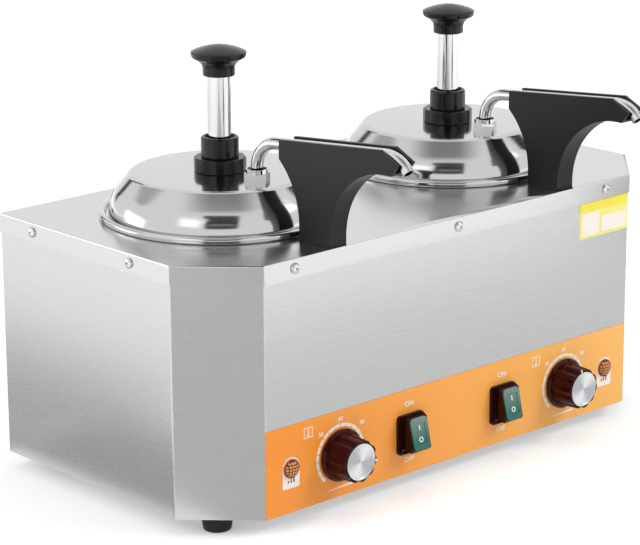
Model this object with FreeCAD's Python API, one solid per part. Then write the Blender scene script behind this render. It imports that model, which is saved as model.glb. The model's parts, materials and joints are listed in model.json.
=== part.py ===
import FreeCAD, Part
import math
import os

# Two-station topping warmer: a bent sheet cabinet with two water baths, a lift-out pot in each,
# and a lid with a spring-return pump whose spout lies in a black shroud at the front.
# Millimetres. x runs along the cabinet, y to the back, z up. The origin is on the surface the
# feet stand on, in the middle of everything. The sizes below are measured from the middle of the
# cabinet and from its bottom edge, and the finished solids are moved once, as they are written.

V = FreeCAD.Vector
UP = V(0, 0, 1)
BACK = V(0, 1, 0)
ALONG = V(1, 0, 0)

# Cabinet
cabinet_width = 470.0
cabinet_depth = 241.0
cabinet_height = 185.0
corner_chamfer = 46.0
sheet = 1.0
skirt_height = 14.2
skirt_gap = 0.15
flange_width = 12.0
seam_gap = 0.3
turning_clearance = 0.1
overrun = 5.0

# Feet
foot_height = 12.0
foot_top_radius = 11.7
foot_bottom_radius = 10.0
foot_edge = 1.5
foot_inset_x = 32.0
foot_inset_y = 36.5
foot_recess_radius = 5.0
foot_recess_depth = 7.0

# Fasteners
screw_head_radius = 3.9
screw_head_height = 2.2
screw_crown_radius = 2.6
screw_shank_radius = 1.9
screw_recess_radius = 1.2
screw_recess_depth = 1.2
screw_length = 4.5
screw_clearance = 0.2
screw_drop = 6.8
cover_screw_spacing = 160.6
side_screw_rear_y = 79.9
side_screw_front_y = -31.6
back_screw_low_z = 40.0
back_screw_high_z = 140.0
hexagon_side_count = 6
nut_across_flats = 7.0
nut_height = 3.0

# Control panel
overlay_height = 64.8
overlay_thickness = 0.5
control_z = 31.5
switch_x = 48.8
lamp_x = 165.0
lamp_z = 33.0

# Rocker switches
switch_flange_width = 26.0
switch_flange_height = 30.0
switch_flange_depth = 2.6
switch_collar_width = 22.8
switch_collar_height = 28.2
switch_collar_depth = 4.2
switch_well_width = 19.8
switch_well_height = 26.6
switch_well_depth = 6.0
switch_corner = 3.0
switch_body_width = 20.0
switch_body_height = 24.0
switch_body_depth = 24.0
switch_tab_width = 6.3
switch_tab_thickness = 0.8
switch_tab_length = 8.0
rocker_width = 19.0
rocker_face_height = 26.4
rocker_root_height = 17.0
rocker_reach = 8.6
rocker_root = 3.4
rocker_pivot_out = 2.6
rocker_pin_radius = 1.4
rocker_tilt = 13.0
rocker_corner = 1.6
window_width = 16.6
window_height = 24.0
window_thickness = 1.8
window_sink = 0.6
window_corner = 3.2
window_recess_width = 10.6
window_recess_height = 15.4
window_recess_depth = 0.5

# Pilot lamps
lamp_ring_radius = 7.0
lamp_ring_depth = 1.4
lamp_body_radius = 5.6
lamp_body_depth = 24.0
lamp_lens_radius = 5.9
lamp_lens_rim = 1.6
lamp_lens_crown = 2.6
lamp_lens_tip_radius = 3.4
lamp_lens_side_count = 12
lamp_tab_length = 7.0

# Thermostats and their knobs
thermostat_width = 36.0
thermostat_height = 24.0
thermostat_depth = 26.0
thermostat_neck_radius = 5.0
thermostat_tab_length = 8.0
spindle_radius = 3.0
spindle_flat = 1.5
spindle_in_body = 9.0
knob_gap = 0.8
knob_skirt_radius = 19.5
knob_skirt_depth = 3.2
knob_skirt_bevel = 1.4
knob_base_radius = 16.6
knob_face_radius = 15.6
knob_depth = 20.6
knob_flutes = 10
knob_flute_radius = 3.2
knob_flute_bite = 1.1
knob_bore_depth = 14.0
cap_radius = 13.5
cap_thickness = 0.9
cap_dish = 0.5
cap_rim = 1.2

# Water wells
station_front_offset = 7.7
well_radius = 80.0
well_floor_z = 25.0
well_corner = 9.0
bead_inner_radius = 84.2
bead_outer_radius = 89.0
bead_height = 5.2
bead_crown = 1.5
cover_hole_gap = 1.0

# Pot stand, a cross of two notched strips
stand_length = 104.0
stand_height = 10.0
stand_thickness = 2.0

# Heating element under each well
element_outer_radius = 62.0
element_inner_radius = 26.0
element_thickness = 6.0
element_tab_width = 6.3
element_tab_length = 12.0
element_tab_thickness = 1.0
element_tab_spread = 12.0

# Pot
pot_radius = 67.0
pot_rim_radius = 71.0
pot_rim_height = 3.0
pot_corner = 8.0
pot_rim_below_cover = 1.0

# Lid
lid_foot_radius = 82.0
lid_crease_radius = 80.3
lid_crease_height = 17.0
lid_edge_radius = 68.0
lid_height = 31.5
lid_bevel = 2.6

# Pump head on the lid
neck_radius = 12.0
neck_height = 14.0
neck_bore_clearance = 0.8
thread_clearance = 0.1
ring_nut_radius = 18.5
ring_nut_height = 10.5
ring_nut_side_count = 12
collar_radius = 13.8
collar_height = 15.0
collar_edge = 1.0
collar_recess_radius = 11.0
collar_recess_depth = 1.6

# Pump under the lid
cylinder_radius = 17.0
bore_radius = 15.0
valve_floor_z = 50.0
valve_height = 15.0
valve_spigot = 6.0
valve_chamber_radius = 11.0
valve_floor = 6.0
inlet_radius = 5.5
valve_disc_radius = 8.0
valve_disc_thickness = 1.6
valve_arm_width = 11.0
valve_port_radius = 3.0
riser_boss_radius = 7.5

# Plunger
rod_radius = 8.4
rod_wall = 1.2
plunger_stroke = 44.0
plunger_spare = 1.0
rod_clearance = 0.1
piston_top_z = 162.0
piston_height = 14.0
piston_clearance = 0.4
piston_socket = 7.0
seal_height = 4.0
seal_depth = 2.4
seal_clearance = 0.1
mushroom_neck_radius = 11.7
mushroom_neck_height = 4.8
mushroom_radius = 20.4
mushroom_height = 22.3
mushroom_dome_height = 5.2
mushroom_rim_height = 3.6
mushroom_rim_taper = 0.7
mushroom_lip_height = 2.4
mushroom_lip_radius = 15.6
mushroom_flare_share = 0.26
mushroom_bore_depth = 12.0

# Return spring
spring_wire = 1.8
spring_radius = 12.4
spring_turns = 9
spring_wire_sides = 4
spring_steps_a_turn = 12
spring_seat_gap = 0.3

# Discharge tube and spout
outlet_y = -33.0
tube_radius = 4.5
tube_wall = 1.0
riser_flange_radius = 9.0
riser_flange_height = 4.0
stub_radius = 7.0
stub_height = 4.5
outlet_nut_across_flats = 16.4
outlet_nut_height = 8.5
outlet_cup_height = 3.0
spout_first_bend = 22.0
spout_last_bend = 25.0
spout_drop = 5.0
spout_tip_y = -187.4
spout_tip_z = 249.6
spout_tip_angle = 45.0

# Spout shroud, standing on the cover
shroud_width = 17.5
shroud_plate = 3.0
shroud_web = 2.0
shroud_setback = 3.5
shroud_foot = 30.0
shroud_front_upright = 5.0
shroud_rear_upright = 10.0
shroud_front_arc = 57.5
shroud_rear_arc = 59.0
shroud_overhang = 21.0
shroud_rear_top = 69.0
shroud_front_top = 79.0
shroud_top_reach = 51.0
shroud_nose_reach = 68.0
shroud_nose_height = 71.0
shroud_chin_reach = 62.0
shroud_rear_notch = 57.0
shroud_floor = 3.0
peg_radius = 2.5
peg_length = 5.0
peg_clearance = 0.2
peg_spacing = 18.0

# Cable gland at the back
gland_inset_x = 45.0
gland_z = 30.0
gland_across_flats = 20.0
gland_hex_length = 6.0
gland_dome_radius = 9.5
gland_dome_tip_radius = 7.0
gland_dome_length = 9.0
gland_thread_radius = 7.8
gland_thread_length = 8.0
gland_bore_radius = 3.75
gland_nut_length = 4.0
gland_hole_clearance = 0.2

# Terminal block
block_width = 44.0
block_depth = 20.0
block_height = 15.0
block_y = 86.0
block_way_count = 4
block_screw_radius = 2.2
block_screw_height = 1.0

# Where the dials start, in degrees from the right turning upward, and how far each knob is turned
knob_start = 225.0
knob_turned = {"left": 233.0, "right": 125.0}

# Worked-out places
SIDES = {"left": -1, "right": 1}
station_x = cabinet_width / 4
gland_x = gland_inset_x - cabinet_width / 2
top_z = cabinet_height
under_cover_z = top_z - sheet
front_y = -cabinet_depth / 2
back_y = cabinet_depth / 2
shell_inset = sheet + skirt_gap
panel_y = front_y + shell_inset
face_y = panel_y - overlay_thickness
inside_y = panel_y + sheet
shell_half = cabinet_width / 2 - shell_inset
shell_back_y = back_y - shell_inset - sheet
back_panel_y = back_y - shell_inset
shoulder_z = top_z + sheet
lid_top_z = shoulder_z + lid_height
lid_under_z = lid_top_z - sheet
neck_top_z = lid_top_z + neck_height
nut_top_z = lid_top_z + ring_nut_height
collar_top_z = nut_top_z + collar_height
mushroom_z = collar_top_z + plunger_stroke + plunger_spare
axis_y = station_front_offset
valve_top_z = valve_floor_z + valve_height
stub_top_z = lid_top_z + stub_height
shroud_foot_front_y = front_y + shroud_setback
shroud_foot_rear_y = shroud_foot_front_y + shroud_foot
shroud_rear_y = shroud_foot_rear_y + shroud_overhang
gland_end_y = back_panel_y + gland_hex_length + gland_dome_length
spout_end_y = spout_tip_y - tube_radius * math.cos(math.radians(spout_tip_angle))
middle_y = (spout_end_y + gland_end_y) / 2


def box(x0, x1, y0, y1, z0, z1):
    return Part.makeBox(x1 - x0, y1 - y0, z1 - z0, V(x0, y0, z0))


def post(radius, x, y, z0, z1):
    return Part.makeCylinder(radius, z1 - z0, V(x, y, z0), UP)


def bar(radius, x, z, y0, y1):
    return Part.makeCylinder(radius, y1 - y0, V(x, y0, z), BACK)


def face(points):
    return Part.Face(Part.makePolygon(points + points[:1]))


def slab(outline, z0, z1):
    """An (x, y) outline made solid from z0 to z1."""
    return face([V(x, y, z0) for x, y in outline]).extrude(UP * (z1 - z0))


def upright(outline, x0, x1):
    """A (y, z) outline made solid from x0 to x1."""
    return face([V(x0, y, z) for y, z in outline]).extrude(ALONG * (x1 - x0))


def turned(outline, x, y):
    """An outline of (radius, z) turned about the upright axis at x, y."""
    return face([V(x + r, y, z) for r, z in outline]).revolve(V(x, y, 0), UP, 360)


def turned_out(outline, x, z):
    """An outline of (radius, y) turned about the axis along y at x, z."""
    return face([V(x + r, y, z) for r, y in outline]).revolve(V(x, 0, z), BACK, 360)


def flats(sides, across, x, y, z0, z1):
    """An upright prism with this many sides, across from flat to flat."""
    corner = across / 2 / math.cos(math.pi / sides)
    turns = [math.pi * (2 * k + 1) / sides for k in range(sides)]
    return slab([(x + corner * math.cos(t), y + corner * math.sin(t)) for t in turns], z0, z1)


def rounded(x, z, width, height, corner, y0, y1):
    """A block along y with its four long edges rounded."""
    block = box(x - width / 2, x + width / 2, y0, y1, z - height / 2, z + height / 2)
    long_edges = [e for e in block.Edges if abs(e.tangentAt(e.FirstParameter).y) > 0.9]
    return block.makeFillet(corner, long_edges)


def fused(solids):
    whole = solids[0]
    for solid in solids[1:]:
        whole = whole.fuse(solid)
    return whole.removeSplitter()


def holed(shape, tools):
    for tool in tools:
        shape = shape.cut(tool)
    return shape


def both_ways(make):
    """What one station has in the cabinet, made for the left and the right one."""
    return [make(side * station_x) for side in SIDES.values()]


def cabinet_outline(inset, back):
    """The cabinet seen from above, drawn in by an inset, with its back edge at y = back."""
    half = cabinet_width / 2 - inset
    front = front_y + inset
    corner = corner_chamfer - inset * (2 - math.sqrt(2))
    return [
        (-half, back),
        (-half, front + corner),
        (-half + corner, front),
        (half - corner, front),
        (half, front + corner),
        (half, back),
    ]


# Screws

def pan_screw(place, inward):
    """A pan head screw: its head's seat at place, its shank going inward."""
    head = Part.makeCone(
        screw_crown_radius, screw_head_radius, screw_head_height, place - inward * screw_head_height, inward
    )
    shank = Part.makeCylinder(screw_shank_radius, screw_length, place, inward)
    socket = Part.makeCylinder(
        screw_recess_radius, screw_recess_depth, place - inward * screw_head_height, inward
    )
    return head.fuse(shank).cut(socket)


def screw_hole(place, inward):
    start = place - inward * overrun
    return Part.makeCylinder(screw_shank_radius + screw_clearance, 2 * overrun, start, inward)


def cover_screw_places():
    z = top_z - screw_drop
    half = cabinet_width / 2
    fronts = [(V(k * cover_screw_spacing, front_y, z), BACK) for k in (-1, 0, 1)]
    backs = [(V(k * cover_screw_spacing, back_y, z), -BACK) for k in (-1, 0, 1)]
    sides = [
        (V(side * half, y, z), ALONG * -side)
        for side in SIDES.values()
        for y in (side_screw_front_y, side_screw_rear_y)
    ]
    return fronts + backs + sides


def back_screw_places():
    x = shell_half - sheet - flange_width / 2
    return [
        (V(side * x, back_panel_y, z), -BACK)
        for side in SIDES.values()
        for z in (back_screw_low_z, back_screw_high_z)
    ]


def base_screw_places():
    x = shell_half - sheet - flange_width / 2
    return [
        (V(side * x, y, 0), UP)
        for side in SIDES.values()
        for y in (side_screw_front_y, side_screw_rear_y)
    ]


def foot_places():
    x = cabinet_width / 2 - foot_inset_x
    y = cabinet_depth / 2 - foot_inset_y
    return [(side * x, end * y) for side in (-1, 1) for end in (-1, 1)]


def case_screws():
    return [pan_screw(place, inward) for place, inward in cover_screw_places() + back_screw_places()]


def base_screws():
    return [pan_screw(place, inward) for place, inward in base_screw_places()]


# Cabinet

def control_cuts(depth):
    """What passes through the front: switch bodies, lamp bodies and spindle necks."""
    y0, y1 = panel_y - depth, inside_y + depth
    cuts = []
    for side in SIDES.values():
        width = switch_body_width / 2 + seam_gap
        height = switch_body_height / 2 + seam_gap
        x = side * switch_x
        cuts.append(box(x - width, x + width, y0, y1, control_z - height, control_z + height))
        cuts.append(bar(lamp_body_radius + seam_gap, side * lamp_x, lamp_z, y0, y1))
        cuts.append(bar(thermostat_neck_radius + seam_gap, side * station_x, control_z, y0, y1))
    return cuts


def cabinet_shell():
    outer = slab(cabinet_outline(shell_inset, shell_back_y), sheet, under_cover_z)
    inner = slab(cabinet_outline(shell_inset + sheet, shell_back_y - sheet), 2 * sheet, under_cover_z)
    floor_outline = cabinet_outline(shell_inset + sheet + flange_width, shell_back_y - sheet - flange_width)
    floor_hole = slab(floor_outline, sheet, 2 * sheet)
    window = shell_half - sheet - flange_width
    opening = box(-window, window, shell_back_y - sheet, shell_back_y, 2 * sheet, under_cover_z)
    places = cover_screw_places() + back_screw_places() + base_screw_places()
    holes = [screw_hole(*place) for place in places]
    nut_reach = nut_across_flats / math.sqrt(3) + seam_gap
    holes += [post(nut_reach, x, y, sheet, 2 * sheet) for x, y in foot_places()]
    return holed(outer, [inner, floor_hole, opening] + control_cuts(overrun) + holes)


def back_panel():
    plate = box(-shell_half, shell_half, shell_back_y, back_panel_y, 0, under_cover_z)
    gland = bar(gland_thread_radius + gland_hole_clearance, gland_x, gland_z, shell_back_y, back_panel_y)
    backs = [place for place in cover_screw_places() + back_screw_places() if place[1] == -BACK]
    return holed(plate, [gland] + [screw_hole(*place) for place in backs])


def base_plate():
    plate = slab(cabinet_outline(shell_inset, shell_back_y), 0, sheet)
    holes = [screw_hole(*place) for place in base_screw_places()]
    holes += [post(screw_shank_radius + screw_clearance, x, y, 0, sheet) for x, y in foot_places()]
    return holed(plate, holes)


def top_cover():
    skin = slab(cabinet_outline(0, back_y), top_z - skirt_height, top_z)
    hollow = slab(cabinet_outline(sheet, back_y - sheet), top_z - skirt_height, under_cover_z)
    holes = both_ways(lambda x: post(well_radius + sheet + cover_hole_gap, x, axis_y, under_cover_z, top_z))
    for side in SIDES.values():
        holes += [
            post(peg_radius + peg_clearance, side * station_x, y, under_cover_z, top_z)
            for y in peg_rows()
        ]
    holes += [screw_hole(*place) for place in cover_screw_places()]
    return holed(skin, [hollow] + holes)


def control_panel():
    corner = corner_chamfer - shell_inset * (2 - math.sqrt(2))
    half = shell_half - corner - seam_gap
    skin = box(-half, half, face_y, panel_y, 0, overlay_height)
    return holed(skin, control_cuts(overrun))


def rubber_feet():
    feet = []
    for x, y in foot_places():
        foot = turned(
            [
                (screw_shank_radius + screw_clearance, 0),
                (foot_top_radius, 0),
                (foot_bottom_radius, foot_edge - foot_height),
                (foot_bottom_radius - foot_edge, -foot_height),
                (foot_recess_radius, -foot_height),
                (foot_recess_radius, foot_recess_depth - foot_height),
                (screw_shank_radius + screw_clearance, foot_recess_depth - foot_height),
            ],
            x,
            y,
        )
        feet.append(foot)
    return feet


def foot_screws():
    """A screw up through each foot, with its nut on the base plate."""
    pieces = []
    seat_z = foot_recess_depth - foot_height
    nut_z = sheet
    for x, y in foot_places():
        head = post(screw_head_radius, x, y, seat_z - screw_head_height, seat_z)
        shank = post(screw_shank_radius, x, y, seat_z, nut_z + nut_height)
        nut = flats(hexagon_side_count, nut_across_flats, x, y, nut_z, nut_z + nut_height)
        pieces.append(head.fuse(shank))
        pieces.append(nut.cut(post(screw_shank_radius, x, y, nut_z, nut_z + nut_height)))
    return pieces


# Controls

def switch_housings():
    """The fixed half of each rocker switch, with its terminals behind."""
    housings = []
    for side in SIDES.values():
        x = side * switch_x
        flange = rounded(
            x, control_z, switch_flange_width, switch_flange_height, switch_corner,
            face_y - switch_flange_depth, face_y,
        )
        collar = rounded(
            x, control_z, switch_collar_width, switch_collar_height, switch_corner,
            face_y - switch_collar_depth, face_y,
        )
        body = box(
            x - switch_body_width / 2, x + switch_body_width / 2, face_y, inside_y + switch_body_depth,
            control_z - switch_body_height / 2, control_z + switch_body_height / 2,
        )
        well = box(
            x - switch_well_width / 2, x + switch_well_width / 2,
            face_y - switch_collar_depth, face_y + switch_well_depth,
            control_z - switch_well_height / 2, control_z + switch_well_height / 2,
        )
        back = inside_y + switch_body_depth
        tabs = [
            box(
                x - switch_tab_width / 2, x + switch_tab_width / 2, back, back + switch_tab_length,
                tab_z, tab_z + switch_tab_thickness,
            )
            for tab_z in (control_z + k * switch_body_height / 3 for k in (-1, 0, 1))
        ]
        pin_start = V(x - switch_well_width / 2, rocker_pivot_y(), control_z)
        pin = Part.makeCylinder(rocker_pin_radius, switch_well_width, pin_start, ALONG)
        housings.append(fused([flange, collar, body]).cut(well).fuse([pin] + tabs).removeSplitter())
    return housings


def rocker_pivot_y():
    return face_y - rocker_pivot_out


def tilted(shape, x):
    """Turn a rocker piece from straight ahead to the side where its top is pressed in."""
    shape.rotate(V(x, rocker_pivot_y(), control_z), ALONG, -rocker_tilt)
    return shape


def rocker(x):
    """A wedge of moulded plastic on the housing's pin, with a shallow seat for its window."""
    pivot_y = rocker_pivot_y()
    face_half = rocker_face_height / 2
    root_half = rocker_root_height / 2
    nose_y = pivot_y - rocker_reach
    root_y = pivot_y + rocker_root
    profile = [
        (nose_y, control_z - face_half + rocker_corner),
        (nose_y + rocker_corner, control_z - face_half),
        (root_y, control_z - root_half),
        (root_y, control_z + root_half),
        (nose_y + rocker_corner, control_z + face_half),
        (nose_y, control_z + face_half - rocker_corner),
    ]
    wedge = upright(profile, x - rocker_width / 2, x + rocker_width / 2)
    seat = rounded(
        x, control_z, window_width + window_sink, window_height + window_sink, window_corner,
        nose_y, nose_y + window_sink,
    )
    bore_start = V(x - rocker_width / 2, pivot_y, control_z)
    bore = Part.makeCylinder(rocker_pin_radius + turning_clearance, rocker_width, bore_start, ALONG)
    return tilted(wedge.cut(seat).cut(bore), x)


def rocker_window(x):
    """The translucent window, a rounded plate with a shallow field for its two marks."""
    seat_y = rocker_pivot_y() - rocker_reach + window_sink
    front = seat_y - window_thickness
    plate = rounded(x, control_z, window_width, window_height, window_corner, front, seat_y)
    field = box(
        x - window_recess_width / 2, x + window_recess_width / 2, front, front + window_recess_depth,
        control_z - window_recess_height / 2, control_z + window_recess_height / 2,
    )
    return tilted(plate.cut(field), x)


def lamp_holders():
    holders = []
    for side in SIDES.values():
        x = side * lamp_x
        front = face_y - lamp_ring_depth
        ring = bar(lamp_ring_radius, x, lamp_z, front, face_y)
        barrel = bar(lamp_body_radius, x, lamp_z, face_y, inside_y + lamp_body_depth)
        seat = bar(lamp_lens_radius + seam_gap, x, lamp_z, front, front + lamp_ring_depth / 2)
        back = inside_y + lamp_body_depth
        tabs = [
            box(
                x + k * lamp_body_radius / 2, x + k * lamp_body_radius / 2 + switch_tab_thickness,
                back, back + lamp_tab_length, lamp_z - switch_tab_width / 2, lamp_z + switch_tab_width / 2,
            )
            for k in (-1, 1)
        ]
        holders.append(ring.fuse([barrel] + tabs).removeSplitter().cut(seat))
    return holders


def lamp_lenses():
    """Faceted amber lenses, each a low pyramid on a short rim."""
    lenses = []
    for side in SIDES.values():
        x = side * lamp_x
        seat_y = face_y - lamp_ring_depth / 2
        rim_y = seat_y - lamp_lens_rim
        tip_y = rim_y - lamp_lens_crown
        steps = [(lamp_lens_radius, seat_y), (lamp_lens_radius, rim_y), (lamp_lens_tip_radius, tip_y)]
        turns = [2 * math.pi * k / lamp_lens_side_count for k in range(lamp_lens_side_count)]
        rings = []
        for radius, y in steps:
            points = [V(x + radius * math.cos(t), y, lamp_z + radius * math.sin(t)) for t in turns]
            rings.append(Part.makePolygon(points + points[:1]))
        lenses.append(Part.makeLoft(rings, True, True))
    return lenses


def thermostats():
    """The capillary thermostats behind the panel, each with the neck its spindle turns in."""
    bodies = []
    for side in SIDES.values():
        x = side * station_x
        back = inside_y + thermostat_depth
        body = box(
            x - thermostat_width / 2, x + thermostat_width / 2, inside_y, back,
            control_z - thermostat_height / 2, control_z + thermostat_height / 2,
        )
        neck = bar(thermostat_neck_radius, x, control_z, face_y, inside_y)
        bore_end = inside_y + spindle_in_body
        bore = bar(spindle_radius + turning_clearance, x, control_z, face_y, bore_end)
        tabs = [
            box(
                x + k * thermostat_width / 4, x + k * thermostat_width / 4 + switch_tab_thickness,
                back, back + thermostat_tab_length,
                control_z - switch_tab_width / 2, control_z + switch_tab_width / 2,
            )
            for k in (-1, 1)
        ]
        bodies.append(body.fuse([neck] + tabs).removeSplitter().cut(bore))
    return bodies


def turned_to(shape, x, angle):
    """Turn a knob piece, made pointing along +x, so that it points at this angle on the dial."""
    shape.rotate(V(x, 0, control_z), BACK, -angle)
    return shape


def knob_front_y():
    return face_y - knob_gap - knob_depth


def thermostat_knob(x, pointer):
    """A fluted knob on a bevelled skirt, recessed in front for its metal cap."""
    back = face_y - knob_gap
    front = knob_front_y()
    skirt_y = back - knob_skirt_depth
    body = turned_out(
        [
            (0, back),
            (knob_skirt_radius, back),
            (knob_skirt_radius, skirt_y + knob_skirt_bevel),
            (knob_skirt_radius - knob_skirt_bevel, skirt_y),
            (knob_base_radius, skirt_y),
            (knob_face_radius, front),
            (0, front),
        ],
        x,
        control_z,
    )
    reach = knob_base_radius + knob_flute_radius - knob_flute_bite
    flutes = []
    for k in range(knob_flutes):
        turn = math.pi * (2 * k + 1) / knob_flutes
        flutes.append(
            bar(
                knob_flute_radius, x + reach * math.cos(turn), control_z + reach * math.sin(turn),
                front - overrun, skirt_y,
            )
        )
    seat = bar(cap_radius + seam_gap, x, control_z, front, front + cap_thickness)
    bore = spindle_bar(x, seam_gap / 2, back - knob_bore_depth, back)
    return turned_to(holed(body, flutes + [seat, bore]), x, pointer)


def knob_cap(x):
    """A spun aluminium disc with a raised rim, seated in the knob's face."""
    front = knob_front_y()
    seat = front + cap_thickness
    return turned_out(
        [
            (0, seat),
            (cap_radius, seat),
            (cap_radius, front - cap_dish),
            (cap_radius - cap_rim, front - cap_dish),
            (cap_radius - cap_rim - cap_dish, front),
            (0, front),
        ],
        x,
        control_z,
    )


def spindle_bar(x, gap, y0, y1):
    """A round bar along y with a flat, as large as the spindle and a gap."""
    radius = spindle_radius + gap
    flat_x = x + spindle_flat + gap
    return bar(radius, x, control_z, y0, y1).cut(
        box(flat_x, x + 2 * radius, y0, y1, control_z - radius, control_z + radius)
    )


def knob_spindle(x, pointer):
    round_end = bar(spindle_radius, x, control_z, face_y - knob_gap, inside_y + spindle_in_body - seam_gap)
    flat_end = spindle_bar(x, 0, face_y - knob_gap - knob_bore_depth + seam_gap, face_y - knob_gap)
    return turned_to(round_end.fuse(flat_end), x, pointer)


# Water baths

def water_well(x):
    """A drawn bath with a rolled rim that hangs on the cover round its hole."""
    outer = well_radius + sheet
    floor = well_floor_z
    return turned(
        [
            (0, floor),
            (outer - well_corner, floor),
            (outer, floor + well_corner),
            (outer, top_z),
            (bead_outer_radius - bead_crown, top_z),
            (bead_outer_radius, top_z + bead_crown),
            (bead_outer_radius, top_z + bead_height - bead_crown),
            (bead_outer_radius - bead_crown, top_z + bead_height),
            (bead_inner_radius + bead_crown, top_z + bead_height),
            (bead_inner_radius, top_z + bead_height - bead_crown),
            (bead_inner_radius, shoulder_z),
            (well_radius, shoulder_z),
            (well_radius, floor + well_corner),
            (well_radius - well_corner, floor + sheet),
            (0, floor + sheet),
        ],
        x,
        axis_y,
    )


def pot_stand(x):
    z0 = well_floor_z + sheet
    half = stand_length / 2
    thin = stand_thickness / 2
    across = box(x - half, x + half, axis_y - thin, axis_y + thin, z0, z0 + stand_height)
    along = box(x - thin, x + thin, axis_y - half, axis_y + half, z0, z0 + stand_height)
    return across.fuse(along).removeSplitter()


def heating_element(x):
    """A flat ring heater pressed to the underside of the bath, with two terminal tabs."""
    z1 = well_floor_z
    z0 = z1 - element_thickness
    ring = post(element_outer_radius, x, axis_y, z0, z1).cut(post(element_inner_radius, x, axis_y, z0, z1))
    root = axis_y + element_outer_radius - element_tab_width
    tabs = [
        box(
            tab_x - element_tab_width / 2, tab_x + element_tab_width / 2,
            root, axis_y + element_outer_radius + element_tab_length,
            z0 - element_tab_thickness, z0,
        )
        for tab_x in (x - element_tab_spread, x + element_tab_spread)
    ]
    return ring.fuse(tabs).removeSplitter()


def pot(x):
    """The lift-out pot that holds the topping, with a rolled rim."""
    outer = pot_radius + sheet
    floor = well_floor_z + sheet + stand_height
    rim = top_z - pot_rim_below_cover
    return turned(
        [
            (0, floor),
            (outer - pot_corner, floor),
            (outer, floor + pot_corner),
            (outer, rim - pot_rim_height),
            (pot_rim_radius, rim - pot_rim_height),
            (pot_rim_radius, rim - sheet),
            (pot_rim_radius - sheet, rim),
            (pot_radius, rim),
            (pot_radius, floor + pot_corner),
            (pot_radius - pot_corner, floor + sheet),
            (0, floor + sheet),
        ],
        x,
        axis_y,
    )


# Lid and pump

def lid(x):
    """A spun lid: an upright band, a cone and a flat top, pierced for the pump and its outlet."""
    slope = (lid_crease_radius - lid_edge_radius) / (lid_height - lid_crease_height)
    crease_z = shoulder_z + lid_crease_height
    edge_z = lid_top_z - lid_bevel / 2
    shell = turned(
        [
            (lid_foot_radius, shoulder_z),
            (lid_crease_radius, crease_z),
            (lid_edge_radius + slope * lid_bevel / 2, edge_z),
            (lid_edge_radius - lid_bevel, lid_top_z),
            (0, lid_top_z),
            (0, lid_under_z),
            (lid_edge_radius - lid_bevel, lid_under_z),
            (lid_crease_radius - sheet, crease_z - sheet / 2),
            (lid_foot_radius - sheet, shoulder_z),
        ],
        x,
        axis_y,
    )
    pump_hole = post(neck_radius + thread_clearance, x, axis_y, lid_under_z, lid_top_z)
    outlet_hole = post(stub_radius + thread_clearance, x, outlet_y, lid_under_z, lid_top_z)
    return holed(shell, [pump_hole, outlet_hole])


def ring_nut(x):
    prism = flats(ring_nut_side_count, 2 * ring_nut_radius, x, axis_y, lid_top_z, nut_top_z)
    return prism.cut(post(neck_radius + thread_clearance, x, axis_y, lid_top_z, nut_top_z))


def pump_collar(x):
    """The smooth guide on the pump's neck, dished round the rod."""
    bore = rod_radius + rod_clearance
    return turned(
        [
            (neck_radius + thread_clearance, nut_top_z),
            (collar_radius, nut_top_z),
            (collar_radius, collar_top_z - collar_edge),
            (collar_radius - collar_edge, collar_top_z),
            (collar_recess_radius, collar_top_z),
            (collar_recess_radius, collar_top_z - collar_recess_depth),
            (bore, collar_top_z - collar_recess_depth),
            (bore, neck_top_z),
            (neck_radius + thread_clearance, neck_top_z),
        ],
        x,
        axis_y,
    )


def pump_cylinder(x):
    """The barrel under the lid, with the threaded neck that comes up through it."""
    bore = rod_radius + neck_bore_clearance
    return turned(
        [
            (bore_radius, valve_top_z),
            (cylinder_radius, valve_top_z),
            (cylinder_radius, lid_under_z),
            (neck_radius, lid_under_z),
            (neck_radius, neck_top_z),
            (bore, neck_top_z),
            (bore, lid_under_z - sheet),
            (bore_radius, lid_under_z - sheet - (bore_radius - bore)),
        ],
        x,
        axis_y,
    )


def foot_valve(x):
    """The inlet valve at the barrel's foot, with an arm across to the discharge tube."""
    spigot_z = valve_top_z + valve_spigot
    chamber_z = valve_floor_z + valve_floor
    port_z = (chamber_z + valve_top_z) / 2
    body = post(cylinder_radius, x, axis_y, valve_floor_z, valve_top_z)
    spigot = post(bore_radius - thread_clearance, x, axis_y, valve_top_z, spigot_z)
    boss = post(riser_boss_radius, x, outlet_y, valve_floor_z, valve_top_z)
    arm_half = valve_arm_width / 2
    arm = box(x - arm_half, x + arm_half, outlet_y, axis_y, valve_floor_z, valve_top_z)
    cuts = [
        post(valve_chamber_radius, x, axis_y, chamber_z, spigot_z),
        post(inlet_radius, x, axis_y, valve_floor_z, chamber_z),
        bar(valve_port_radius, x, port_z, outlet_y, axis_y),
        post(tube_radius - tube_wall, x, outlet_y, port_z, valve_top_z),
    ]
    disc = post(valve_disc_radius, x, axis_y, chamber_z, chamber_z + valve_disc_thickness)
    return [holed(fused([body, spigot, boss, arm]), cuts), disc]


def riser_tube(x):
    """The discharge tube inside the pot, flanged under the lid and threaded through it."""
    flange_z = lid_under_z - riser_flange_height
    bore = tube_radius - tube_wall
    return turned(
        [
            (bore, valve_top_z),
            (tube_radius, valve_top_z),
            (tube_radius, flange_z),
            (riser_flange_radius, flange_z),
            (riser_flange_radius, lid_under_z),
            (stub_radius, lid_under_z),
            (stub_radius, stub_top_z),
            (bore, stub_top_z),
        ],
        x,
        outlet_y,
    )


def outlet_nut(x):
    """A hexagon nut with a round cup on top, open round the spout tube."""
    cup_z = lid_top_z + outlet_nut_height
    hex_z = cup_z - outlet_cup_height
    hexagon = flats(hexagon_side_count, outlet_nut_across_flats, x, outlet_y, lid_top_z, hex_z)
    cup = post(outlet_nut_across_flats / 2, x, outlet_y, hex_z, cup_z)
    return hexagon.fuse(cup).cut(post(stub_radius + thread_clearance, x, outlet_y, lid_top_z, cup_z))


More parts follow.
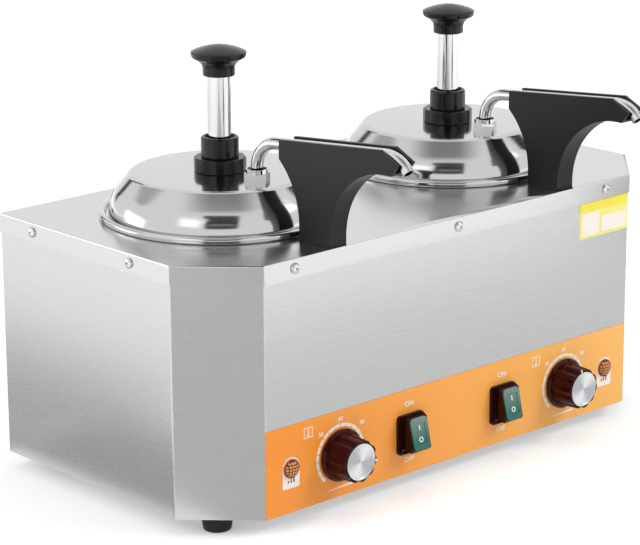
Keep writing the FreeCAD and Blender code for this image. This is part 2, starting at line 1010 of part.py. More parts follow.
def bent_tube(corners, bends, radius):
    """A round bar along straight runs joined by tangent bends, all in one upright plane."""
    runs = [(b - a).normalize() for a, b in zip(corners, corners[1:])]
    start = corners[0]
    pieces = []
    for corner, before, after, bend in zip(corners[1:], runs, runs[1:] + [None], bends + [None]):
        disc = Part.Face(Part.Wire(Part.makeCircle(radius, start, before)))
        if after is None:
            pieces.append(disc.extrude(corner - start))
            break
        turn = before.getAngle(after)
        tangent = corner - before * (bend * math.tan(turn / 2))
        pieces.append(disc.extrude(tangent - start))
        normal = before.cross(after).normalize()
        centre = tangent + normal.cross(before) * bend
        elbow = Part.Face(Part.Wire(Part.makeCircle(radius, tangent, before)))
        pieces.append(elbow.revolve(centre, normal, math.degrees(turn)))
        start = corner + after * (bend * math.tan(turn / 2))
    return pieces[0].fuse(pieces[1:])


def spout_rise():
    """How much the shroud's top edge, and the tube along it, climbs for each unit forward."""
    run = shroud_top_reach + shroud_rear_y - shroud_foot_front_y
    return (shroud_front_top - shroud_rear_top) / run


def spout_corners(x):
    """The spout's route: up from the nut, forward along the shroud, down at the nose."""
    rise = spout_rise()
    drop = spout_drop * math.sqrt(1 + rise * rise)
    level = top_z + shroud_rear_top - drop
    fall = math.tan(math.radians(spout_tip_angle))
    first_z = level + (shroud_rear_y - outlet_y) * rise
    last_y = (level + shroud_rear_y * rise - spout_tip_z + spout_tip_y * fall) / (fall + rise)
    last_z = level + (shroud_rear_y - last_y) * rise
    return [
        V(x, outlet_y, stub_top_z),
        V(x, outlet_y, first_z),
        V(x, last_y, last_z),
        V(x, spout_tip_y, spout_tip_z),
    ]


def spout_tube(x):
    corners = spout_corners(x)
    bends = [spout_first_bend, spout_last_bend]
    bore = tube_radius - tube_wall
    return bent_tube(corners, bends, tube_radius).cut(bent_tube(corners, bends, bore))


# Plunger

def plunger_rod(x):
    foot_z = piston_top_z - piston_socket
    head_z = mushroom_z + mushroom_bore_depth
    return post(rod_radius, x, axis_y, foot_z, head_z).cut(
        post(rod_radius - rod_wall, x, axis_y, foot_z, head_z)
    )


def piston(x):
    """The piston: a socket on top for the rod and a groove for its seal."""
    edge = bore_radius - piston_clearance
    foot_z = piston_top_z - piston_height
    groove_z = foot_z + (piston_height - seal_height) / 2
    socket = rod_radius
    return turned(
        [
            (0, foot_z),
            (edge, foot_z),
            (edge, groove_z),
            (edge - seal_depth, groove_z),
            (edge - seal_depth, groove_z + seal_height),
            (edge, groove_z + seal_height),
            (edge, piston_top_z),
            (socket, piston_top_z),
            (socket, piston_top_z - piston_socket),
            (0, piston_top_z - piston_socket),
        ],
        x,
        axis_y,
    )


def piston_seal(x):
    foot_z = piston_top_z - piston_height
    groove_z = foot_z + (piston_height - seal_height) / 2
    inner = bore_radius - piston_clearance - seal_depth
    outer = bore_radius - seal_clearance
    return post(outer, x, axis_y, groove_z, groove_z + seal_height).cut(
        post(inner, x, axis_y, groove_z, groove_z + seal_height)
    )


def plunger_knob(x):
    """The mushroom knob: a short neck, a hollow flare, a rim and a domed top."""
    neck_z = mushroom_z + mushroom_neck_height
    crown_z = mushroom_z + mushroom_height
    shoulder = crown_z - mushroom_dome_height
    rim_z = shoulder - mushroom_rim_height
    lip_z = rim_z - mushroom_lip_height
    bore_z = mushroom_z + mushroom_bore_depth
    dome = (mushroom_radius ** 2 + mushroom_dome_height ** 2) / (2 * mushroom_dome_height)
    half_turn = math.asin(mushroom_radius / dome) / 2
    flare = (mushroom_lip_radius - mushroom_neck_radius) * mushroom_flare_share

    def at(radius, z):
        return V(x + radius, axis_y, z)

    outline = [
        at(0, bore_z),
        at(rod_radius, bore_z),
        at(rod_radius, mushroom_z),
        at(mushroom_neck_radius, mushroom_z),
        at(mushroom_neck_radius, neck_z),
    ]
    edges = [Part.makeLine(a, b) for a, b in zip(outline, outline[1:])]
    middle = at(mushroom_neck_radius + flare, (neck_z + lip_z) / 2)
    edges.append(Part.Arc(outline[-1], middle, at(mushroom_lip_radius, lip_z)).toShape())
    outline = [
        at(mushroom_lip_radius, lip_z),
        at(mushroom_radius - mushroom_rim_taper, rim_z),
        at(mushroom_radius, shoulder),
    ]
    edges += [Part.makeLine(a, b) for a, b in zip(outline, outline[1:])]
    middle = at(dome * math.sin(half_turn), crown_z - dome * (1 - math.cos(half_turn)))
    edges.append(Part.Arc(outline[-1], middle, at(0, crown_z)).toShape())
    edges.append(Part.makeLine(at(0, crown_z), at(0, bore_z)))
    return Part.Face(Part.Wire(edges)).revolve(V(x, axis_y, 0), UP, 360)


def return_spring(x):
    """A coil of square wire between the foot valve's spigot and the piston, one unbroken tube."""
    low = valve_top_z + valve_spigot + spring_seat_gap + spring_wire / 2
    high = piston_top_z - piston_height - spring_seat_gap - spring_wire / 2
    steps = spring_turns * spring_steps_a_turn
    sections = []
    for k in range(steps + 1):
        turn = 2 * math.pi * k / spring_steps_a_turn
        z = low + (high - low) * k / steps
        points = []
        for corner in range(spring_wire_sides):
            around = math.pi * (2 * corner + 1) / spring_wire_sides
            half = spring_wire / 2 / math.cos(math.pi / spring_wire_sides)
            r = spring_radius + half * math.cos(around)
            ring_x, ring_y = r * math.cos(turn), r * math.sin(turn)
            points.append(V(x + ring_x, axis_y + ring_y, z + half * math.sin(around)))
        sections.append(Part.makePolygon(points + points[:1]))
    pitch = (high - low) / spring_turns
    print("return spring: least gap between turns", round(pitch - spring_wire, 2))
    return Part.makeLoft(sections, True, True)


# Shroud

def arc_between(x, centre, radius, start, end):
    """An arc in the upright plane at x, its angles in degrees from straight back, turning upward."""
    def at(angle):
        turn = math.radians(angle)
        return V(x, centre[0] + radius * math.cos(turn), centre[1] + radius * math.sin(turn))

    return Part.Arc(at(start), at((start + end) / 2), at(end)).toShape()


def shroud_face(x, inset, lift):
    """The shroud's side view. With an inset it is the hollow, drawn in from the webs and open above."""
    def at(y, z):
        return V(x, y, z)

    rear_centre = (shroud_foot_rear_y + shroud_rear_arc, top_z + shroud_rear_upright)
    front_centre = (shroud_foot_front_y - shroud_front_arc, top_z + shroud_front_upright)
    rear_radius = shroud_rear_arc + inset
    front_radius = shroud_front_arc + inset
    rear_y = shroud_rear_y - inset
    foot_z = top_z + (shroud_floor if inset else 0)
    chin_z = front_centre[1] + front_radius
    chin_y = shroud_foot_front_y - shroud_chin_reach
    nose = (shroud_foot_front_y - shroud_nose_reach, top_z + shroud_nose_height)
    slope = (nose[0] - chin_y) / (nose[1] - front_centre[1] - shroud_front_arc)
    chin_y += slope * inset - lift
    rear_angle = 180 - math.degrees(math.acos((rear_centre[0] - rear_y) / rear_radius))
    arc_end_z = rear_centre[1] + rear_radius * math.sin(math.radians(rear_angle))
    rear_foot = at(rear_centre[0] - rear_radius, foot_z)
    rear_low = at(rear_centre[0] - rear_radius, rear_centre[1])
    front_foot = at(front_centre[0] + front_radius, foot_z)
    front_low = at(front_centre[0] + front_radius, front_centre[1])
    top_rear = at(rear_y, top_z + shroud_rear_top + lift)
    top_front = at(shroud_foot_front_y - shroud_top_reach, top_z + shroud_front_top + lift)
    tip = at(nose[0] - lift, nose[1] + lift)
    chin = at(chin_y, chin_z)
    chin_start = at(front_centre[0], chin_z)
    edges = [
        Part.makeLine(top_rear, at(rear_y, arc_end_z)),
        arc_between(x, rear_centre, rear_radius, rear_angle, 180),
        Part.makeLine(rear_low, rear_foot),
        Part.makeLine(rear_foot, front_foot),
        Part.makeLine(front_foot, front_low),
        arc_between(x, front_centre, front_radius, 0, 90),
        Part.makeLine(chin_start, chin),
        Part.makeLine(chin, tip),
        Part.makeLine(tip, top_front),
        Part.makeLine(top_front, top_rear),
    ]
    return Part.Face(Part.Wire(Part.__sortEdges__(edges)))


def peg_rows():
    middle = (shroud_foot_front_y + shroud_foot_rear_y) / 2
    return [middle - peg_spacing / 2, middle + peg_spacing / 2]


def spout_shroud(x):
    """A hollow moulding: two plates and a web round them, open on top and at the nose for the tube."""
    body = shroud_face(x - shroud_width / 2, 0, 0).extrude(ALONG * shroud_width)
    inner = shroud_width - 2 * shroud_plate
    hollow = shroud_face(x - inner / 2, shroud_web, overrun).extrude(ALONG * inner)
    notch = box(
        x - inner / 2, x + inner / 2, shroud_rear_y - shroud_web - overrun, shroud_rear_y + overrun,
        top_z + shroud_rear_notch, top_z + shroud_front_top,
    )
    pegs = [post(peg_radius, x, y, top_z - peg_length, top_z) for y in peg_rows()]
    return body.cut(hollow).cut(notch).fuse(pegs)


# Back and inside

def cable_gland():
    """The gland's body and dome on the back panel, with a through bore for the cable."""
    dome_y = back_panel_y + gland_hex_length
    hexagon = flats(hexagon_side_count, gland_across_flats, gland_x, 0, 0, gland_hex_length)
    hexagon.rotate(V(gland_x, 0, 0), ALONG, -90)
    hexagon.translate(V(0, back_panel_y, gland_z))
    dome = turned_out(
        [
            (0, dome_y),
            (gland_dome_radius, dome_y),
            (gland_dome_radius, dome_y + gland_dome_length / 2),
            (gland_dome_tip_radius, gland_end_y),
            (0, gland_end_y),
        ],
        gland_x,
        gland_z,
    )
    thread = bar(gland_thread_radius, gland_x, gland_z, back_panel_y - gland_thread_length, back_panel_y)
    bore = bar(gland_bore_radius, gland_x, gland_z, back_panel_y - gland_thread_length, gland_end_y)
    return fused([hexagon, dome, thread]).cut(bore)


def gland_nut():
    nut = flats(hexagon_side_count, gland_across_flats, gland_x, 0, 0, gland_nut_length)
    nut.rotate(V(gland_x, 0, 0), ALONG, -90)
    nut_y = shell_back_y - gland_nut_length
    nut.translate(V(0, nut_y, gland_z))
    return nut.cut(bar(gland_thread_radius, gland_x, gland_z, nut_y, shell_back_y))


def terminal_block():
    """The supply terminal block on the base, a step moulding with a screw for each way."""
    z0 = sheet
    half = block_width / 2
    way = block_width / block_way_count
    y0 = block_y - block_depth / 2
    y1 = block_y + block_depth / 2
    low = box(-half, half, y0, y1, z0, z0 + block_height / 2)
    ridge = box(-half, half, y0 + block_depth / 4, y1 - block_depth / 4, z0, z0 + block_height)
    top = z0 + block_height
    screws = [
        post(block_screw_radius, way * (k + 0.5) - half, block_y, top, top + block_screw_height)
        for k in range(block_way_count)
    ]
    return low.fuse([ridge] + screws).removeSplitter()


def cabinet_parts():
    return {
        "cabinet_shell": [cabinet_shell()],
        "back_panel": [back_panel()],
        "base_plate": [base_plate()],
        "top_cover": [top_cover()],
        "control_panel": [control_panel()],
        "case_screws": case_screws(),
        "base_screws": base_screws(),
        "rubber_feet": rubber_feet(),
        "foot_screws": foot_screws(),
        "switch_housings": switch_housings(),
        "lamp_holders": lamp_holders(),
        "lamp_lenses": lamp_lenses(),
        "thermostats": thermostats(),
        "water_wells": both_ways(water_well),
        "pot_stands": both_ways(pot_stand),
        "heating_elements": both_ways(heating_element),
        "cable_gland": [cable_gland()],
        "gland_nut": [gland_nut()],
        "terminal_block": [terminal_block()],
    }


def station_parts(name, side):
    x = side * station_x
    switch = side * switch_x
    pointer = knob_start - knob_turned[name]
    made = {
        "spout_shroud": [spout_shroud(x)],
        "pot": [pot(x)],
        "lid": [lid(x)],
        "ring_nut": [ring_nut(x)],
        "pump_collar": [pump_collar(x)],
        "pump_cylinder": [pump_cylinder(x)],
        "foot_valve": foot_valve(x),
        "riser_tube": [riser_tube(x)],
        "outlet_nut": [outlet_nut(x)],
        "spout_tube": [spout_tube(x)],
        "plunger_rod": [plunger_rod(x)],
        "plunger_knob": [plunger_knob(x)],
        "piston": [piston(x)],
        "piston_seal": [piston_seal(x)],
        "return_spring": [return_spring(x)],
        "thermostat_knob": [thermostat_knob(x, pointer)],
        "knob_cap": [knob_cap(x)],
        "knob_spindle": [knob_spindle(x, pointer)],
        "rocker": [rocker(switch)],
        "rocker_window": [rocker_window(switch)],
    }
    return {f"{part}_{name}": solids for part, solids in made.items()}


def all_parts():
    parts = cabinet_parts()
    for name, side in SIDES.items():
        parts.update(station_parts(name, side))
    return parts


def placed(solids):
    """One shape in the part's own frame, with its origin in the middle on the floor."""
    flat = [piece for solid in solids for piece in solid.Solids]
    shape = flat[0].copy() if len(flat) == 1 else Part.makeCompound([piece.copy() for piece in flat])
    shape.translate(V(0, -middle_y, foot_height))
    return shape


def main():
    os.makedirs("parts", exist_ok=True)
    for name, solids in all_parts().items():
        placed(solids).exportStep(os.path.join("parts", f"{name}.step"))


if __name__ == "__main__":
    main()
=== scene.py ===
"""The look of a two-station topping warmer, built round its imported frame.

Sizes are millimetres in the frame's own axes: x along the cabinet, y to the back and z up from the
floor. Each mesh is turned into metres when its piece is finished. The studio's sizes are metres.
"""

import json
import logging
import math
from collections.abc import Iterable, Sequence
from dataclasses import dataclass
from enum import Enum
from typing import Any

import bmesh
import bpy
from bmesh.types import BMesh, BMVert
from bpy.types import ID, Material, Mesh, Node, NodeSocket, NodeTree, Object
from mathutils import Matrix, Vector


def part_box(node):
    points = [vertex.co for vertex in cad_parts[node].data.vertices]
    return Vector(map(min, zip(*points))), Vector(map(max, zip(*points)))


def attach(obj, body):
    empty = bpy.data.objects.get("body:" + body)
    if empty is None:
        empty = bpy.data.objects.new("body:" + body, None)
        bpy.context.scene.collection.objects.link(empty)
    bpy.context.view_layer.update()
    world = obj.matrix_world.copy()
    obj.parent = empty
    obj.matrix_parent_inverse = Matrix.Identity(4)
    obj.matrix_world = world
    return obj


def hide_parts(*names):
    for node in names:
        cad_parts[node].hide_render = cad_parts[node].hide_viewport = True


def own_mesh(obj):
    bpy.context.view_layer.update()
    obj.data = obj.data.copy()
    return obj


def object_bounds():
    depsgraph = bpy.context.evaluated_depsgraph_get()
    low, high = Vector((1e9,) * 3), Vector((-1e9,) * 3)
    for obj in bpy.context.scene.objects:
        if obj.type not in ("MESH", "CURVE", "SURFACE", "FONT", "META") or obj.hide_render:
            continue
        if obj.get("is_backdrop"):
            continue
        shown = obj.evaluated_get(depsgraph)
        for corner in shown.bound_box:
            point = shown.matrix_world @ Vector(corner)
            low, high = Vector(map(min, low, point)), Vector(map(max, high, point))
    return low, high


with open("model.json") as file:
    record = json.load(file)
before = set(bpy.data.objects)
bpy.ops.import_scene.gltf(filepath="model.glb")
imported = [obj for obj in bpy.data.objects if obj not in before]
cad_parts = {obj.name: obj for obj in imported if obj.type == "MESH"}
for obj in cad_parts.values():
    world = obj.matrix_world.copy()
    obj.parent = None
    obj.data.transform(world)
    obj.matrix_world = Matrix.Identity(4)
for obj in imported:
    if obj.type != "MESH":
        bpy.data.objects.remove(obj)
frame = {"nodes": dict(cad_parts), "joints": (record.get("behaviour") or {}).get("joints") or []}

MM = 0.001
IMAGE_WIDTH = 640
SHADER = "Principled BSDF"
CAPITAL = 0.7  # a capital's height as a share of the font's size
BOLDER = 0.028  # how far a stroke is widened, as a share of a capital's height
TINY = 0.01  # a length that counts as nothing
CORNER_ARC = 8  # how many faces round a flat plate's corner
EDGE_ARC = 3  # how many faces round a softened edge
WELD = 0.0005  # how near the points of a turned shape may lie before they become one
COPY_WELD = 0.002  # the same for a copied CAD mesh
WORD_WELD = 0.0001  # and for lettering
FLAT_ANGLE = 0.5  # the bend in degrees below which two faces of a CAD mesh are one
NOISE_LOW = 0.3  # nearly all of a noise lies between this
NOISE_HIGH = 0.7  # and this
log = logging.getLogger("topping_warmer")


class Side(Enum):
    """The two stations, as seen from the front."""

    LEFT = "left"
    RIGHT = "right"


class Grain(Enum):
    """Which way the brushing of a sheet runs, as the share of its length in x, y and z."""

    LEVEL = (1, 1, 0)
    ALONG = (1, 0, 0)


def levels(code: str) -> list[int]:
    """The red, green and blue levels of a hex colour, from 0 to 255."""
    return [int(code[i : i + 2], 16) for i in (0, 2, 4)]


def colour(code: str) -> tuple[float, float, float, float]:
    """Turns an sRGB hex colour into Blender's linear one, by the curve of the sRGB standard.

    Args:
        code: six hex digits.

    Returns:
        Linear red, green, blue and an alpha of one.
    """
    shares = [level / 255 for level in levels(code)]
    linear = [s / 12.92 if s <= 0.04045 else ((s + 0.055) / 1.055) ** 2.4 for s in shares]
    return (linear[0], linear[1], linear[2], 1.0)


def feed(tree: NodeTree, node: Node, inputs: dict[Any, Any]) -> None:
    """Gives a node's inputs their values or links.

    Args:
        tree: the node's tree.
        node: the node.
        inputs: socket name or number to a value, or to the output socket that feeds it.
    """
    for name, value in inputs.items():
        if isinstance(value, NodeSocket):
            tree.links.new(value, node.inputs[name])
        else:
            node.inputs[name].default_value = value


def add_node(tree: NodeTree, kind: str, inputs: dict[Any, Any] | None = None, **settings: Any) -> Node:
    """Adds one node with its settings and links.

    Args:
        tree: the node tree that gets the node.
        kind: Blender's name for the node's type.
        inputs: socket name or number to a value, or to the output socket that feeds it.
        settings: the node's own properties.

    Returns:
        The new node.
    """
    node = tree.nodes.new(kind)
    for name, value in settings.items():
        setattr(node, name, value)
    feed(tree, node, inputs or {})
    return node


# Finishes


@dataclass(frozen=True)
class Finish:
    """A moulded or plain surface: its colour, its gloss and the fine pattern that the eye sees on it.

    Clouds and grit are the widths of the pattern's lumps and depth is the relief's, in millimetres.
    """

    name: str
    shade: str
    roughness: float
    metallic: float = 0.0
    ior: float = 1.5
    clear: float = 0.0
    cloud: float = 0.04
    cloud_size: float = 60.0
    grit: float = 0.8
    depth: float = 0.01
    gloss_spread: float = 0.06

    def material(self) -> Material:
        """Makes the material once, and finds it again from then on.

        Returns:
            The material.
        """
        known = bpy.data.materials.get(self.name)
        if known:
            return known
        made = bpy.data.materials.new(self.name)
        made.use_nodes = True
        tree = made.node_tree
        feed(tree, tree.nodes[SHADER], {"Metallic": self.metallic, "Transmission Weight": self.clear})
        if not self.metallic:
            feed(tree, tree.nodes[SHADER], {"IOR": self.ior})
        self.dress(tree)
        return made

    def scaled(self, tree: NodeTree, lengths: Sequence[float]) -> NodeSocket:
        """Gives object coordinates in units of a pattern's own lengths.

        Args:
            tree: the material's nodes.
            lengths: the pattern's length along x, y and z, in millimetres.

        Returns:
            The socket with the scaled place.
        """
        where = add_node(tree, "ShaderNodeTexCoord")
        scale = [1 / (length * MM) for length in lengths]
        mapping = add_node(tree, "ShaderNodeMapping", {"Vector": where.outputs["Object"], "Scale": scale})
        return mapping.outputs["Vector"]

    def lumps(self, tree: NodeTree, lengths: Sequence[float], detail: float) -> NodeSocket:
        """Spreads uneven lumps through the piece's own space.

        Args:
            tree: the material's nodes.
            lengths: a lump's length along x, y and z, in millimetres.
            detail: how many finer sizes lie over the first.

        Returns:
            The socket with their value.
        """
        inputs = {"Vector": self.scaled(tree, lengths), "Scale": 1.0, "Detail": detail, "Roughness": 0.55}
        return add_node(tree, "ShaderNodeTexNoise", inputs).outputs["Fac"]

    def shades(self) -> tuple[str, str]:
        """Takes the colour a little darker and a little lighter.

        Returns:
            The two colours as hex.
        """
        dark = [round(v * (1 - self.cloud)) for v in levels(self.shade)]
        light = [min(255, round(v * (1 + self.cloud))) for v in levels(self.shade)]
        return ("%02x%02x%02x" % tuple(dark), "%02x%02x%02x" % tuple(light))

    def surface(
        self,
        tree: NodeTree,
        share: NodeSocket,
        height: NodeSocket,
        gloss: NodeSocket | None = None,
        shades: tuple[str, str] | None = None,
    ) -> None:
        """Gives the surface its colour, its relief and its gloss.

        Args:
            tree: the material's nodes.
            share: how far the colour is from the first shade to the second, from nought to one.
            height: the relief's height, as a share of its depth.
            gloss: what makes the gloss uneven. Without it the gloss is even.
            shades: the two colours. Without them they are the finish's own, darker and lighter.
        """
        first, second = shades or self.shades()
        mixed = add_node(
            tree, "ShaderNodeMix", {0: share, 6: colour(first), 7: colour(second)}, data_type="RGBA"
        )
        bump = add_node(
            tree, "ShaderNodeBump", {"Height": height, "Distance": self.depth * MM, "Strength": 1.0}
        )
        roughness: Any = self.roughness
        if gloss is not None:
            low_end, high_end = self.roughness - self.gloss_spread, self.roughness + self.gloss_spread
            limits = {"From Min": NOISE_LOW, "From Max": NOISE_HIGH, "To Min": low_end, "To Max": high_end}
            roughness = add_node(tree, "ShaderNodeMapRange", {"Value": gloss, **limits}).outputs["Result"]
        feed(
            tree, tree.nodes[SHADER],
            {"Base Color": mixed.outputs[2], "Roughness": roughness, "Normal": bump.outputs["Normal"]},
        )

    def dress(self, tree: NodeTree) -> None:
        """Faint clouds of colour, uneven gloss and a fine grit.

        Args:
            tree: the material's nodes.
        """
        clouds = self.lumps(tree, [self.cloud_size] * 3, 3.0)
        self.surface(tree, clouds, self.lumps(tree, [self.grit] * 3, 2.0), clouds)


@dataclass(frozen=True)
class BrushedSheet(Finish):
    """Stainless sheet with long faint brushed lines over clouds from the rolling.

    Real brushing is too fine to show, some 0.05 mm, so its lines are drawn 0.9 mm wide.
    """

    metallic: float = 1.0
    grain: Grain = Grain.LEVEL
    line_width: float = 0.9
    line_length: float = 120.0
    colour_share: float = 0.65

    def dress(self, tree: NodeTree) -> None:
        """Long lines along the grain in the gloss and relief, over faint clouds.

        Args:
            tree: the material's nodes.
        """
        lengths = [self.line_length if share else self.line_width for share in self.grain.value]
        lines = self.lumps(tree, lengths, 4.0)
        clouds = self.lumps(tree, [self.cloud_size] * 3, 2.0)
        both = add_node(tree, "ShaderNodeMath", {0: lines, 1: clouds, 2: clouds}, operation="MULTIPLY_ADD")
        share = add_node(
            tree, "ShaderNodeMath", {0: both.outputs[0], 1: self.colour_share}, operation="MULTIPLY"
        )
        self.surface(tree, share.outputs[0], lines, lines)


@dataclass(frozen=True)
class SpunSteel(Finish):
    """Metal polished while it spun: faint rings round the axis, upright or along y."""

    metallic: float = 1.0
    centre: tuple[float, float] = (0.0, 0.0)
    ring_width: float = 1.4
    level: bool = True
    # sheen_turn, sheen_start and sheen_dark shape two wedges of painted sheen in a cap's colour
    sheen_turn: float = 0.0
    sheen_start: float = -0.7
    sheen_dark: str = ""

    def from_axis(self, tree: NodeTree) -> NodeSocket:
        """Gives the way from the polishing axis, square to it.

        Args:
            tree: the material's nodes.

        Returns:
            The socket with the vector, in metres.
        """
        across, along = (-place * MM for place in self.centre)
        where = add_node(tree, "ShaderNodeTexCoord")
        inputs = {
            "Vector": where.outputs["Object"],
            "Location": (across, along, 0) if self.level else (across, 0, along),
            "Scale": (1, 1, 0) if self.level else (1, 0, 1),
        }
        return add_node(tree, "ShaderNodeMapping", inputs).outputs["Vector"]

    def painted_sheen_wedges(self, tree: NodeTree) -> NodeSocket:
        """Paints two light wedges of sheen on a small flat cap, a painted reflection like the one its turned
        rings give.

        Args:
            tree: the material's nodes.

        Returns:
            The socket with their strength, from nought to one.
        """
        split = add_node(tree, "ShaderNodeSeparateXYZ", {"Vector": self.from_axis(tree)})
        turn = add_node(
            tree, "ShaderNodeMath", {0: split.outputs["Z"], 1: split.outputs["X"]}, operation="ARCTAN2"
        )
        twice = add_node(
            tree, "ShaderNodeMath", {0: turn.outputs[0], 1: 2.0, 2: -2 * math.radians(self.sheen_turn)},
            operation="MULTIPLY_ADD",
        )
        wave = add_node(tree, "ShaderNodeMath", {0: twice.outputs[0]}, operation="COSINE")
        limits = {"Value": wave.outputs[0], "From Min": self.sheen_start, "From Max": 1.0}
        return add_node(tree, "ShaderNodeMapRange", limits).outputs["Result"]

    def dress(self, tree: NodeTree) -> None:
        """Rings of slightly uneven gloss, and handling clouds or painted sheen wedges over them.

        Args:
            tree: the material's nodes.
        """
        radius = add_node(tree, "ShaderNodeVectorMath", {0: self.from_axis(tree)}, operation="LENGTH")
        scaled = add_node(
            tree, "ShaderNodeMath", {0: radius.outputs["Value"], 1: 1 / (self.ring_width * MM)},
            operation="MULTIPLY",
        )
        rings = add_node(
            tree, "ShaderNodeTexNoise",
            {"W": scaled.outputs[0], "Scale": 1.0, "Detail": 3.0, "Roughness": 0.6}, noise_dimensions="1D",
        ).outputs["Fac"]
        # With sheen_dark the colour is painted in two wedges of sheen, a painted reflection
        if self.sheen_dark:
            self.surface(tree, self.painted_sheen_wedges(tree), rings, rings, (self.sheen_dark, self.shades()[1]))
        else:
            self.surface(tree, self.lumps(tree, [self.cloud_size] * 3, 3.0), rings, rings)


@dataclass(frozen=True)
class PrintedFilm(Finish):
    """Satin printed film whose ink lightens from one end to the other."""

    far_shade: str = "ffc36b"
    half_length: float = 190.0
    mottle: float = 0.06
    mottle_size: float = 3.0

    def dress(self, tree: NodeTree) -> None:
        """A long fade along x, a faint mottle of the ink and a fine matt grain.

        Args:
            tree: the material's nodes.
        """
        where = self.scaled(tree, [2 * self.half_length] * 3)
        along = add_node(tree, "ShaderNodeSeparateXYZ", {"Vector": where}).outputs["X"]
        mottle = self.lumps(tree, [self.mottle_size] * 3, 3.0)
        fade = add_node(
            tree, "ShaderNodeMath", {0: mottle, 1: self.mottle, 2: along}, operation="MULTIPLY_ADD"
        )
        limits = {"Value": fade.outputs[0], "From Min": -0.5, "From Max": 0.5}
        share = add_node(tree, "ShaderNodeMapRange", limits).outputs["Result"]
        grit = self.lumps(tree, [self.grit] * 3, 2.0)
        self.surface(tree, share, grit, grit, (self.shade, self.far_shade))


@dataclass(frozen=True)
class Translucent(Finish):
    """Clear tinted plastic, painted lighter towards the top of each piece: a painted glow."""

    glow: str = "ffffff"
    low_z: float = 0.0
    high_z: float = 1.0

    def dress(self, tree: NodeTree) -> None:
        """The colour is painted lighter upwards, a painted glow such as light gives in a thick moulding.

        Args:
            tree: the material's nodes.
        """
        where = add_node(tree, "ShaderNodeTexCoord")
        split = add_node(tree, "ShaderNodeSeparateXYZ", {"Vector": where.outputs["Object"]})
        limits = {"From Min": self.low_z * MM, "From Max": self.high_z * MM}
        share = add_node(tree, "ShaderNodeMapRange", {"Value": split.outputs["Z"], **limits})
        clouds = self.lumps(tree, [self.cloud_size] * 3, 2.0)
        grit = self.lumps(tree, [self.grit] * 3, 2.0)
        # The mix runs from the tint at the foot to the painted glow at the top
        self.surface(tree, share.outputs["Result"], grit, clouds, (self.shade, self.glow))


@dataclass(frozen=True)
class Waffle(Finish):
    """A prismatic lens: small squares painted bright, partly the prisms' own pattern and partly a painted
    glow, between dark grooves, at the pitch that was measured.
    """

    clear: float = 0.15
    groove: str = "6a2c0c"
    pitch: float = 2.2
    groove_share: float = 0.2

    def dress(self, tree: NodeTree) -> None:
        """Squares from the distance to the nearest groove in x and in z.

        Args:
            tree: the material's nodes.
        """
        split = add_node(tree, "ShaderNodeSeparateXYZ", {"Vector": self.scaled(tree, [self.pitch] * 3)})
        gaps = [
            add_node(tree, "ShaderNodeMath", {0: split.outputs[axis], 1: 0.5}, operation="PINGPONG")
            for axis in ("X", "Z")
        ]
        nearest = add_node(
            tree, "ShaderNodeMath", {i: gap.outputs[0] for i, gap in enumerate(gaps)}, operation="MINIMUM"
        )
        limits = {"From Min": self.groove_share / 2, "From Max": self.groove_share}
        share = add_node(tree, "ShaderNodeMapRange", {"Value": nearest.outputs[0], **limits})
        field = share.outputs["Result"]
        self.surface(tree, field, field, shades=(self.groove, self.shade))


# Shapes


@dataclass(frozen=True)
class Corner:
    """A corner of a turned outline: its radius, its height, and how far from it the rounding starts."""

    radius: float
    height: float
    rounding: float = 0.0


def middle(node: str) -> Vector:
    """The middle of a CAD node, in millimetres."""
    return (low(node) + high(node)) / 2


def low(node: str) -> Vector:
    """The lowest corner of a CAD node, in millimetres."""
    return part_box(node)[0] / MM


def high(node: str) -> Vector:
    """The highest corner of a CAD node, in millimetres."""
    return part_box(node)[1] / MM


def about(axis: str, degrees: float) -> Matrix:
    """A turn about one axis."""
    return Matrix.Rotation(math.radians(degrees), 3, axis)


def rounded(bm: BMesh, geom: list[Any], reach: float, steps: int, affect: str) -> None:
    """Rounds corners or edges of a mesh.

    Args:
        bm: the mesh.
        geom: its corners or edges that are rounded.
        reach: how far from them the rounding starts.
        steps: how many faces make it.
        affect: VERTICES for corners and EDGES for edges.
    """
    bmesh.ops.bevel(
        bm, geom=geom, offset=reach, offset_type="OFFSET", segments=steps, profile=0.5, affect=affect,
        material=-1,
    )


def moved(bm: BMesh, x: float, y: float, z: float) -> BMesh:
    """Moves a mesh and returns it."""
    bmesh.ops.translate(bm, vec=(x, y, z), verts=bm.verts)
    return bm


def rotated(bm: BMesh, matrix: Matrix) -> BMesh:
    """Turns a mesh about the origin and returns it."""
    bmesh.ops.rotate(bm, cent=(0, 0, 0), matrix=matrix, verts=bm.verts)
    return bm


def facing_front(bm: BMesh) -> BMesh:
    """Turns a mesh so that what was up points to the front, and returns it."""
    return rotated(bm, about("X", 90))


def thickened(bm: BMesh, thickness: float) -> BMesh:
    """Draws a flat shape out to the front, which closes it.

    Args:
        bm: the flat shape.
        thickness: how far it is drawn out.

    Returns:
        The same mesh.
    """
    grown = bmesh.ops.extrude_face_region(bm, geom=bm.faces[:])
    front = [v for v in grown["geom"] if isinstance(v, BMVert)]
    bmesh.ops.translate(bm, vec=(0, -thickness, 0), verts=front)
    bmesh.ops.recalc_face_normals(bm, faces=bm.faces)
    return bm


